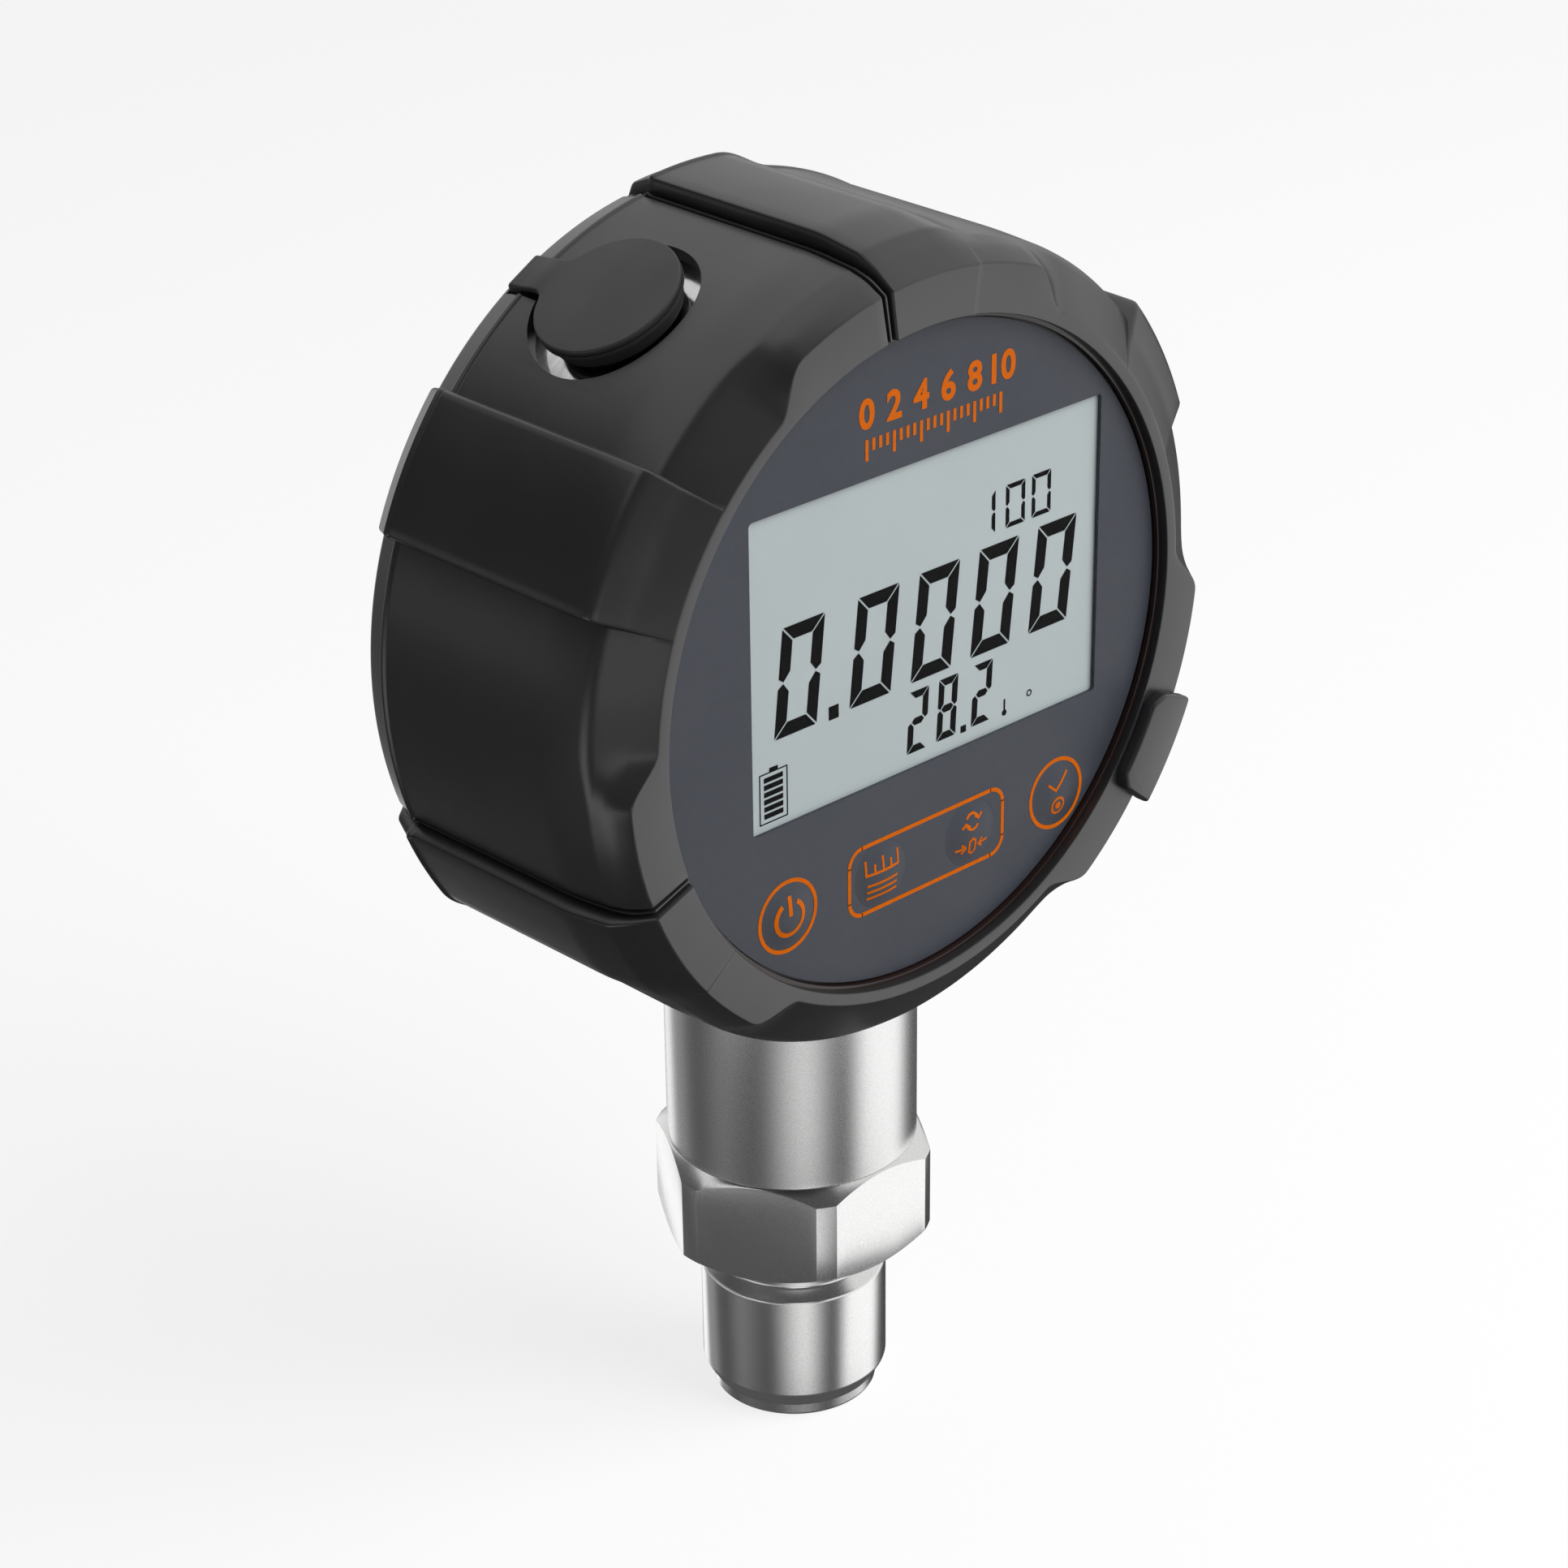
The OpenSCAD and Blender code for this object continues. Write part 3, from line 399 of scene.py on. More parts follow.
def cut(skin, tools):
    """Cuts the tools out of a skin, removes them all and returns the mesh that is left."""
    for tool in tools:
        mod = skin.modifiers.new("cut", "BOOLEAN")
        mod.operation = "DIFFERENCE"
        mod.solver = "EXACT"
        mod.object = tool
    graph = bpy.context.evaluated_depsgraph_get()
    mesh = bpy.data.meshes.new_from_object(skin.evaluated_get(graph))
    for item in [skin] + tools:
        bpy.data.objects.remove(item)
    return mesh


# places on the gauge

OUT = Vector((0.0, -1.0, 0.0))
INWARD = (0, 1, 0)
UP = (0, 0, 1)
SIDE = (1, 0, 0)
PLUG_AT = 120.0
KEYS = {"key_power": -18.9, "key_unit": -6.3, "key_mode": 6.3, "key_set": 18.9}
KEY_SIDE = 0.7
KEY_ROW = -21.5


def dial(x, z, depth):
    """A point of the dial: x and z from its centre, depth behind the lip."""
    s = sizes()
    return Vector((x, depth - s.neck_set, s.dial_z + z))


def polar(r, degrees):
    a = math.radians(degrees)
    return r * math.cos(a), r * math.sin(a)


def barrel_frame(degrees, depth):
    """Turns the plug's own axes, z out of the barrel, onto the barrel."""
    turned = Matrix.Rotation(math.radians(90.0 - degrees), 4, "Y")
    return Matrix.Translation(dial(0, 0, depth)) @ turned


def knuckle_place():
    """Radius of the strap's knuckle, and how far it lies behind the plug's centre."""
    s = sizes()
    return 1.3 * s.lip_t, s.boot_len - 2.9 * s.lip_t - s.plug_dep


# forms of the boot, by the angle in degrees from its line of symmetry

MID_AT = 150.0
LOBES = (57.75, 180.0)
LOBE_SLOPE = (23.5, 31.5)
# half widths of the pad on the line, to its two sides
PAD_HALF = {-1: 9.4, 1: 11.0}
FAR_PAD_AT = 120.0
FAR_PAD_HALF = 10.1
PAD_EDGE = 0.8
GROOVE_AT = 50.8
GROOVE_HALF = 0.7
GROOVE_EDGE = 0.4
BEAD_EDGE = (0.14, 0.4)
BEAD_SHARE = 0.75
BLOCK_EDGE = 0.7
BLOCK_FALL = (63.5, 73.0)
SEAM_EDGE = (68.75, 69.25)
# where the skin is drawn closely: first and last angle and number of steps
CLOSE_SPANS = (
    (24.5, 35.5, 16), (GROOVE_AT - 0.42, GROOVE_AT + 0.42, 12), (*BLOCK_FALL, 10), (*SEAM_EDGE, 4),
    (80.0, 90.5, 16), (147.0, 158.0, 16),
)
# shares of a steep edge at which it is drawn
STEEP_SHARES = (0.0, 0.015, 0.08, 0.22, 0.45, 0.75, 1.0)
WIDE_STEP = 1.5


def ease(t):
    """Rises softly from zero to one."""
    return 0.0 if t <= 0 else 1.0 if t >= 1 else t * t * (3 - 2 * t)


def round_up(t):
    """Rises steeply and rounds off at the top."""
    return 0.0 if t <= 0 else 1.0 if t >= 1 else math.sqrt(1 - (1 - t) ** 2)


def rise(p, a, b):
    return ease((p - a) / (b - a))


def lobe(p, more=0.0):
    """One on the lip's raised thirds."""
    off = min(abs(p - mid) for mid in LOBES)
    return 1 - rise(off, LOBE_SLOPE[0] - more, LOBE_SLOPE[1] + more)


def pad(p, side):
    """One on a grip pad; the far pad is on one side alone."""
    if side > 0 and p > FAR_PAD_AT / 2:
        return round_up((FAR_PAD_HALF - abs(p - FAR_PAD_AT)) / PAD_EDGE)
    return round_up((PAD_HALF[side] - p) / PAD_EDGE)


def block(p):
    """One on a strap block; its far side falls away softly."""
    return round_up((p - GROOVE_AT - GROOVE_HALF) / BLOCK_EDGE) * (1 - rise(p, *BLOCK_FALL))


def seam(p):
    """One between the groove and the seam of a strap block."""
    start = GROOVE_AT + GROOVE_HALF
    return rise(p, start, start + GROOVE_EDGE) * (1 - rise(p, *SEAM_EDGE))


def groove(p):
    """One in a groove, less on the thin bead along its floor."""
    off = abs(p - GROOVE_AT)
    bead = 1 - rise(off, *BEAD_EDGE)
    return (1 - round_up((off - GROOVE_HALF) / GROOVE_EDGE)) * (1 - BEAD_SHARE * bead)


def skin_angles():
    """Half of the angles at which the skin is drawn, close together where it changes."""
    close = [half - PAD_EDGE * k for half in PAD_HALF.values() for k in STEEP_SHARES]
    for way in (1, -1):
        close += [FAR_PAD_AT + way * (FAR_PAD_HALF - PAD_EDGE * k) for k in STEEP_SHARES]
        close += [GROOVE_AT + way * (GROOVE_HALF + GROOVE_EDGE * k) for k in STEEP_SHARES]
    close += [GROOVE_AT + GROOVE_HALF + BLOCK_EDGE * k for k in STEEP_SHARES]
    for a, b, steps in CLOSE_SPANS:
        close += [a + (b - a) * k / steps for k in range(steps + 1)]
    close = sorted({round(p, 2) for p in close})
    wide = [WIDE_STEP * k for k in range(int(180 / WIDE_STEP) + 1)]
    keep = [w for w in wide if w in (0.0, 180.0) or min(abs(w - p) for p in close) > 0.4]
    return sorted(keep + close)


def skin_corners(p, side):
    """The boot's section at one angle: radius, depth and fillet of each corner."""
    s = sizes()
    r = s.lip_t
    up = s.pad_h * pad(p, side)
    high = s.block_h * block(p)
    low = s.groove_deep * groove(p)
    slim = 0.3 * MM * rise(p, *BLOCK_FALL)
    lip = s.valley_r + (s.lobe_r - s.valley_r) * lobe(p)
    lip_d = low - 0.09 * s.block_h * seam(p)
    wide_lip = s.valley_r + (s.lobe_r - s.valley_r) * lobe(p, 1.5)
    mid = (wide_lip + s.ring_r) / 2 + 0.08 * s.ring_d * lobe(p)
    back_r = s.barrel_back_r + 0.9 * up + 0.8 * high - low - 1.5 * slim
    edge_d = s.boot_len - 4.2 * r
    rim_r = s.case_in_r - 1.3 * r
    front = 4.8 * r
    back = front + s.case_len + 0.1 * MM
    return [
        (s.open_r, r, 0.0),
        (s.open_r, lip_d, 0.15 * MM),
        (lip - 1.2 * low, lip_d, 0.22 * MM),
        (mid + 0.35 * up + 0.35 * high - low, s.ring_d * 0.5, 0.8 * MM),
        (s.ring_r + 1.1 * up + 0.7 * high - low, s.ring_d, (1 - 0.65 * lobe(p)) * MM),
        (s.barrel_front_r + up + 0.85 * high - low - slim, s.ring_d * 2.3, 1.5 * MM),
        # fine ridge along the edge of the back band
        (back_r - 0.2 * MM, edge_d - 0.5 * MM, 0.1 * MM),
        (back_r, edge_d - 0.2 * MM, 0.15 * MM),
        (back_r, edge_d + 0.1 * MM, 0.15 * MM),
        (back_r - 0.3 * MM, edge_d + 0.4 * MM, 0.1 * MM),
        (s.band_r + 0.2 * MM + 0.45 * up + 0.55 * high - low - slim, s.boot_len - 0.9 * r, 0.4 * MM),
        (s.band_r - r + 0.2 * up + 0.25 * high, s.boot_len, 0.4 * MM),
        (rim_r, s.boot_len, 0.2 * MM),
        (rim_r, back, 0.0),
        (s.case_r, back, 0.0),
        (s.case_r, front, 0.0),
        (s.valley_r, r, 0.0),
    ]


def boot_skin():
    """Spins one section round the dial and moves each of its copies to the section at its angle."""
    half = skin_angles()
    stations = [(p, -1) for p in half] + [(p, 1) for p in reversed(half[1:-1])]
    rows = [rounded(skin_corners(p, side)) for p, side in stations]
    count = len(stations)
    centre = dial(0, 0, 0)
    bm = bmesh.new()
    corner = bm.verts.layers.int.new("corner")
    verts = []
    for i, (r, d) in enumerate(rounded(skin_corners(0.0, 1))):
        verts.append(bm.verts.new(centre + Vector((r, d, 0))))
        verts[-1][corner] = i
    edges = [bm.edges.new((verts[i - 1], verts[i])) for i in range(len(verts))]
    bmesh.ops.spin(
        bm, geom=verts + edges, cent=centre, axis=OUT, angle=math.tau, steps=count, use_merge=True
    )
    for v in bm.verts:
        turned = math.atan2(v.co.z - centre.z, v.co.x - centre.x) % math.tau
        k = round(turned / math.tau * count) % count
        p, side = stations[k]
        r, d = rows[k][v[corner]]
        v.co = dial(*polar(r, MID_AT - side * p), d)
    bmesh.ops.recalc_face_normals(bm, faces=bm.faces[:])
    return as_object(bm, "boot_skin")


def drum(name, radius, depth, matrix, segments=96):
    """A round tool for cutting."""
    bm = bmesh.new()
    bmesh.ops.create_cone(
        bm, cap_ends=True, segments=segments, radius1=radius, radius2=radius, depth=depth, matrix=matrix
    )
    return as_object(bm, name)


def boot_tools():
    """What is cut out of the boot: the plug's well, its strap's bed and notch, and the neck's hole."""
    s = sizes()
    room = 0.3 * MM
    # the bed is a hair wider than the notch
    bed_w = s.strap_w + 2 * room + 0.01 * MM
    bed_h = 8 * MM
    knuckle, back = knuckle_place()
    place = barrel_frame(PLUG_AT, s.plug_dep)
    at_well = Matrix.Translation((0, 0, s.case_r + 4 * MM))
    at_notch = Matrix.Translation((0, back, s.cap_top - knuckle)) @ Matrix.Rotation(math.pi / 2, 4, "Y")
    at_bed = Matrix.Translation((0, back / 2, s.cap_top - 2 * knuckle - room + bed_h / 2))
    bed_size = Matrix.Diagonal((bed_w, back, bed_h, 1))
    bed = bmesh.new()
    bmesh.ops.create_cube(bed, size=1.0, matrix=place @ at_bed @ bed_size)
    at_neck = Matrix.Translation((0, 0, s.hex_top + 11.5 * MM))
    return [
        drum("well_tool", s.well_d / 2, 12 * MM, place @ at_well),
        as_object(bed, "bed_tool"),
        drum("notch_tool", knuckle + room, s.strap_w + 2 * room, place @ at_notch, 48),
        drum("neck_tool", s.neck_d / 2 + 0.1 * MM, 22 * MM, at_neck),
    ]


def pull_tab():
    """Pull tab on the raised third beside the panel, its inner corners cut off."""
    s = sizes()
    inner, outer = s.open_r + 0.3 * MM, s.lobe_r + 1 * MM
    first, last = MID_AT + 170.2, MID_AT + 187.2
    off, off_degrees = 1.4 * MM, 2.2
    foot = s.lip_t / 3
    span = last - first - 2 * off_degrees
    outline = [polar(outer, first + (last - first) * k / 12) for k in range(13)]
    outline.append(polar(inner + off, last))
    outline += [polar(inner, last - off_degrees - span * k / 8) for k in range(9)]
    outline.append(polar(inner + off, first))
    tab = bmesh.new()
    plate(tab, outline, lambda x, z: dial(x, z, foot), OUT * (s.tab_h + foot))
    bmesh.ops.recalc_face_normals(tab, faces=tab.faces[:])
    soften(tab, 0.4 * MM, 30.0, 3)
    return tab


class GAUGE_OT_boot(bpy.types.Operator):
    """Moulds the rubber boot: lip, bevel, barrel, pads, strap blocks, grooves, well and tab"""

    bl_idname = "gauge.boot"
    bl_label = "Rubber boot"

    def execute(self, context):
        bm = bmesh.new()
        bm.from_mesh(cut(boot_skin(), boot_tools()))
        take_in(bm, pull_tab())
        rubber = moulded_rubber("boot_rubber", finishes().rubber)
        new_piece("boot_moulding", bm, rubber, replaces=["boot"], sharp=50.0)
        return {"FINISHED"}


def strap_outline(r, w, bends):
    """Cap and strap in one outline, with a hollow curve where the strap leaves the cap."""
    hollow = 1.6 * MM
    mid_x = w + hollow
    mid_y = math.sqrt((r + hollow) ** 2 - mid_x**2)
    meet = math.degrees(math.atan2(mid_y, mid_x))
    right = [polar(r, -90 + (meet + 90) * k / 48) for k in range(49)]
    for k in range(1, 9):
        x, y = polar(hollow, 180 + meet * (1 - k / 8))
        right.append((mid_x + x, mid_y + y))
    right += [(w, y) for y in bends if y > right[-1][1] + 0.1 * MM]
    return right + [(-x, y) for x, y in reversed(right[1:])]


class GAUGE_OT_plug(bpy.types.Operator):
    """Moulds the port plug with its cap, stem, spigot, strap and knuckle"""

    bl_idname = "gauge.plug"
    bl_label = "Port plug"

    def execute(self, context):
        s = sizes()
        t = s.lip_t
        r = s.cap_d / 2
        stem = r - 0.75 * t
        foot = s.case_r + 0.3 * MM
        spigot = s.spigot_d / 2
        bore = spigot - 1.3 * t
        low = s.case_r - 2.6 * t
        under = s.cap_top - s.strap_t
        rim = s.cap_top - s.cap_t
        fine, soft = 0.2 * MM, 0.3 * MM
        bm = bmesh.new()
        profile = [
            (0.0, under), (r, under), (r, rim, fine), (stem, rim, fine), (stem, foot, soft),
            (spigot, foot, fine), (spigot, low, soft), (bore, low, fine), (bore, low + 2 * t),
            (0.0, low + 2 * t),
        ]
        turn(bm, rounded(profile), (0, 0, 0), UP, SIDE, 120)
        # the strap bends down towards its knuckle
        knuckle, back = knuckle_place()
        w = s.strap_w / 2
        first = r + 0.6 * MM
        drop = 0.6 * MM
        bends = [first + (back - first) * k / 6 for k in range(7)]
        strap = bmesh.new()
        plate(strap, strap_outline(r, w, bends), lambda x, y: Vector((x, y, under)), Vector(UP) * s.strap_t)
        for y in bends:
            slice_off(strap, (0, y, 0), INWARD)
        for v in strap.verts:
            v.co.z -= drop * rise(v.co.y, first, back)
        bmesh.ops.recalc_face_normals(strap, faces=strap.faces[:])
        soften(strap, fine, 40.0, 3)
        roll = bmesh.new()
        knob = knuckle - fine
        profile = rounded([(0, -w), (knob, -w, soft), (knob, w, soft), (0, w)])
        turn(roll, profile, (0, back, s.cap_top - drop - knob), SIDE, UP, 48)
        take_in(bm, strap)
        take_in(bm, roll)
        bmesh.ops.transform(bm, matrix=barrel_frame(PLUG_AT, s.plug_dep), verts=bm.verts[:])
        rubber = moulded_rubber("plug_rubber", finishes().plug, (0.46, 0.58))
        new_piece("plug_moulding", bm, rubber, "plug", ["port_plug"])
        return {"FINISHED"}


def hexagon():
    """The hexagon, turned first and then milled on its six flats."""
    s = sizes()
    port, r, corner = s.port_d / 2, s.neck_d / 2, s.hex_turned_d / 2
    collar = r - s.neck_wall - 0.1 * MM
    collar_top = s.hex_top + 4.14 * MM
    cavity = collar - 2.5 * s.lip_t + 0.2 * MM
    seat = s.hex_top - 0.62 * (s.hex_top - s.hex_low)
    bm = bmesh.new()
    profile = [
        (port, s.hex_low), (corner - 1.54 * MM, s.hex_low), (corner, s.hex_low + 1.1 * MM),
        (corner, s.hex_top - 1.4 * MM), (r, s.hex_top), (collar, s.hex_top), (collar, collar_top),
        (cavity, collar_top), (cavity, seat), (port, seat),
    ]
    turn(bm, profile, (0, 0, 0), UP, SIDE, 180)
    for k in range(6):
        way = Vector((*polar(1.0, 30 + 60 * k), 0))
        made = slice_off(bm, way * s.hex_af / 2, way, clear_outer=True)
        bmesh.ops.contextual_create(bm, geom=[g for g in made if isinstance(g, bmesh.types.BMEdge)])
    bmesh.ops.recalc_face_normals(bm, faces=bm.faces[:])
    soften(bm, 0.12 * MM, 22.0, 2)
    return bm


class GAUGE_OT_neck(bpy.types.Operator):
    """Turns the neck tube, the hexagon and the stub"""

    bl_idname = "gauge.neck"
    bl_label = "Neck and hexagon"

    def execute(self, context):
        s = sizes()
        outer = s.neck_d / 2
        inner = outer - s.neck_wall
        top = s.hex_top + s.neck_len
        fillet = 0.3 * MM
        bm = bmesh.new()
        profile = [(inner, s.hex_top), (outer, s.hex_top, 0.1 * MM), (outer, top), (inner, top)]
        turn(bm, rounded(profile), (0, 0, 0), UP, SIDE, 180)
        steel = turned_steel("neck_steel", finishes().steel)
        new_piece("neck_turned", bm, steel, replaces=["neck_tube"])
        port, stub, tip, relief = s.port_d / 2, s.stub_d / 2, s.tip_d / 2, s.relief_d / 2
        tip_top = s.stub_low + s.tip_len
        profile = [
            (port, s.stub_low, fillet), (tip, s.stub_low, fillet), (tip, tip_top, 0.1 * MM),
            (tip + 0.15 * MM, tip_top, 0.05 * MM), (stub, s.bevel_top, fillet), (stub, s.stub_top, fillet),
            (relief, s.relief_low, fillet), (relief, s.hex_low), (port, s.hex_low),
        ]
        bm = bmesh.new()
        turn(bm, rounded(profile), (0, 0, 0), UP, SIDE, 180)
        take_in(bm, hexagon())
        steel = turned_steel("hexagon_steel", finishes().steel, (0.16, 0.26))
        new_piece("hexagon_turned", bm, steel, replaces=["process_body"], sharp=28.0)
        return {"FINISHED"}


class GAUGE_OT_bezel(bpy.types.Operator):
    """Turns the gloss ring between the lip and the printed panel"""

    bl_idname = "gauge.bezel"
    bl_label = "Bezel ring"

    def execute(self, context):
        s = sizes()
        t = s.lip_t
        gap = t / 9
        inner = s.open_r - 0.5 * t
        film = s.panel_dep + 0.45 * t
        skirt = s.case_in_r - gap
        skin = s.case_in_r - 2.3 * t + gap
        back = film + 6.6 * t
        front = 4.8 * t
        profile = [
            (inner, t, 0.1 * MM), (s.valley_r - gap, t), (s.case_r - gap, front), (skirt, front),
            (skirt, back), (skin, back), (skin, film), (inner, film),
        ]
        bm = bmesh.new()
        turn(bm, rounded(profile), dial(0, 0, 0), INWARD, SIDE, 180)
        # the ring's colour is black with a reddish tint that is a painted reflection
        gloss = gloss_plastic("bezel_gloss", finishes().black_with_painted_red_reflection)
        new_piece("bezel_turned", bm, gloss, replaces=["bezel_ring"])
        return {"FINISHED"}


# drawing on the dial, in millimetres from its centre

# how deep a drawn line is set into the surface, and how far it stands out, in metres
SUNK = 0.01 * MM
INK = 0.03 * MM


def ribbon(bm, rows, closed=False):
    """Draws a strip through pairs of points by extruding its first edge, then thickens it."""
    pair = [bm.verts.new(point) for point in rows[0]]
    edge = bm.edges.new(pair)
    faces = []
    verts = list(pair)
    for row in rows[1:] + (rows[:1] if closed else []):
        made = bmesh.ops.extrude_edge_only(bm, edges=[edge])["geom"]
        fresh = [g for g in made if isinstance(g, bmesh.types.BMVert)]
        if (fresh[0].co - pair[0].co).length > (fresh[1].co - pair[0].co).length:
            fresh.reverse()
        for vert, point in zip(fresh, row):
            vert.co = point
        faces += [g for g in made if isinstance(g, bmesh.types.BMFace)]
        edge = [g for g in made if isinstance(g, bmesh.types.BMEdge) and set(g.verts) == set(fresh)][0]
        pair = fresh
        verts += fresh
    if closed:
        bmesh.ops.remove_doubles(bm, verts=verts, dist=MERGE)
        faces = [f for f in faces if f.is_valid]
    thicken(bm, faces, OUT * (INK + SUNK))


def drawn(x, z, depth_at):
    """The point where a line is drawn, just under the surface."""
    return dial(x * MM, z * MM, depth_at(x, z) + SUNK)


def stroke(bm, path, width, depth_at):
    """Draws a line of the given width along points, on the surface under it."""
    for start, end in zip(path, path[1:]):
        a, b = Vector(start), Vector(end)
        along = (b - a).normalized() * width * 0.3
        across = Vector((along.y, -along.x)).normalized() * width * 0.5
        a, b = a - along, b + along
        steps = max(1, math.ceil((b - a).length / 0.5))
        rows = []
        for k in range(steps + 1):
            p = a.lerp(b, k / steps)
            rows.append([drawn(q.x, q.y, depth_at) for q in (p - across, p + across)])
        ribbon(bm, rows)


def ring_line(bm, x, z, radius, width, depth_at, start=0.0, degrees=360.0):
    """Draws a ring or an arc; the arc starts at an angle from +X."""
    steps = max(8, int(degrees / 6))
    full = degrees >= 360
    rows = []
    for k in range(steps if full else steps + 1):
        edge = [polar(r, start + degrees * k / steps) for r in (radius - width / 2, radius + width / 2)]
        rows.append([drawn(x + a, z + b, depth_at) for a, b in edge])
    ribbon(bm, rows, full)


def flat_mark(bm, outline, depth):
    """Fills an outline."""
    plate(bm, outline, lambda x, z: dial(x * MM, z * MM, depth), OUT * INK)


def block_mark(bm, x0, z0, x1, z1, depth):
    """Fills an upright rectangle."""
    flat_mark(bm, [(x0, z0), (x1, z0), (x1, z1), (x0, z1)], depth)


def sign(bm, name, x, z, depth_at):
    """The printed sign of the key at x and z; its points are given from there."""
    pen = 0.26

    def line(*points, width=pen):
        stroke(bm, [(x + a, z + b) for a, b in points], width, depth_at)

    def arc(b, radius, width=pen, start=0.0, degrees=360.0):
        ring_line(bm, x, z + b, radius, width, depth_at, start, degrees)

    if name == "key_power":
        # broken ring with a bar
        arc(-0.1, 1.8, 0.48, 122, 296)
        line((0, 0.3), (0, 2.1), width=0.48)
    elif name == "key_unit":
        # ruler over a list
        line((-2.2, 0.5), (2.2, 0.5))
        for k in range(5):
            mark = -2.2 + k * 1.1
            line((mark, 0.5), (mark, 0.5 + (1.5 if k % 2 == 0 else 0.9)))
        for k in range(3):
            line((-2.0, -0.7 - k * 0.72), (2.0, -0.7 - k * 0.72))
    elif name == "key_mode":
        # two round arrows over a zero between arrows
        up, low = 1.35, -1.4
        zero = ((0.0, 0.85), (0.42, 0.55), (0.42, -0.55), (0.0, -0.85), (-0.42, -0.55), (-0.42, 0.55))
        line(*[(a, low + b) for a, b in zero + zero[:1]])
        for side in (1, -1):
            arc(up, 0.85, start=20 if side > 0 else 200, degrees=130)
            tip = (side * 0.9, up + side * 0.1)
            line((tip[0] - 0.45, tip[1] + side * 0.35), tip, (tip[0] + 0.5, tip[1] + side * 0.4))
            line((side * 2.2, low), (side * 0.9, low))
            line((side * 1.4, low + 0.45), (side * 0.9, low), (side * 1.4, low - 0.45))
    else:
        # tick over a dot in a ring
        line((-1.3, 1.3), (-0.4, 0.5), (1.4, 2.1))
        arc(-1.3, 0.85)
        arc(-1.3, 0.2, 0.38)


class GAUGE_OT_keys(bpy.types.Operator):
    """Forms the four low key domes with their printed signs"""

    bl_idname = "gauge.keys"
    bl_label = "Keys"

    def execute(self, context):
        s = sizes()
        film = satin_film("key_film", finishes().panel)
        ink = printed_ink("key_ink", finishes().orange)
        t = s.lip_t
        r = s.key_d / 2 + 0.19 * MM
        high = t / 2
        front = s.panel_dep
        flange = front + 1.55 * t
        flange_r = s.key_d / 2 + 1.1 * t
        back = flange + 0.8 * t
        stem = s.key_d / 4
        dome = lambda share: front - high * max(0.0, 1 - share**2) ** 1.4
        profile = [(r * k / 10, dome(k / 10)) for k in range(11)]
        profile += [
            (r - 0.04 * MM, front + 0.4 * MM), (s.key_d / 2, flange), (flange_r, flange), (flange_r, back),
            (stem, back), (stem, back + 1.6 * t), (0, back + 1.6 * t),
        ]
        for name, place in KEYS.items():
            x = place + KEY_SIDE
            bm = bmesh.new()
            turn(bm, profile, dial(x * MM, KEY_ROW * MM, 0), INWARD, SIDE, 72)
            new_piece(name + "_dome", bm, film, name + "_cap", [name])
            bm = bmesh.new()
            sign(bm, name, x, KEY_ROW, lambda px, pz: dome(math.hypot(px - x, pz - KEY_ROW) * MM / r))
            new_piece(name + "_sign", bm, ink, name + "_cap")
        return {"FINISHED"}


SEGMENTS = {"0": "abcdef", "1": "bc", "2": "abged", "8": "abcdefg"}
# figures of the display, where each starts, their foot, and their width, height, bar, lean and gap
FIGURE_ROWS = (
    ("00000", (-19.2, -9.3, -1.0, 7.3, 15.6), -2.7, (5.5, 11.1, 1.42, 1.25, 0.13)),
    ("282", (-1.5, 2.6, 7.5), -10.2, (2.65, 6.5, 0.76, 0.4, 0.09)),
    ("100", (7.9, 12.1, 15.8), 9.65, (2.7, 4.5, 0.48, 0.0, 0.1)),
)
POINTS = ((-12.05, -3.0, -10.75, -1.6), (6.05, -10.4, 6.8, -9.65))


def figure(bm, char, left, low, wide, tall, bar, lean, gap, depth):
    """Draws one seven-segment figure; lean is how far its top leans right."""
    g, t, m, w, h = gap, bar, tall / 2, wide, tall
    shapes = {
        "a": [(g, h), (w - g, h), (w - g - t, h - t), (g + t, h - t)],
        "f": [(0, h - g), (t, h - t - g), (t, m + t * 0.62 + g), (t * 0.45, m + g * 0.7),
              (0, m + g * 0.7 + t * 0.3)],
        "g": [(t * 0.55 + g, m), (t + g, m + t * 0.5), (w - t - g, m + t * 0.5),
              (w - t * 0.55 - g, m), (w - t - g, m - t * 0.5), (t + g, m - t * 0.5)],
    }
    # the lower and the right segments mirror the upper and the left ones
    shapes["d"], shapes["e"] = ([(x, h - z) for x, z in shapes[part]] for part in "af")
    shapes["b"], shapes["c"] = ([(w - x, z) for x, z in shapes[part]] for part in "fe")
    for part in SEGMENTS[char]:
        flat_mark(bm, [(left + x + lean * z / h, low + z) for x, z in shapes[part]], depth)


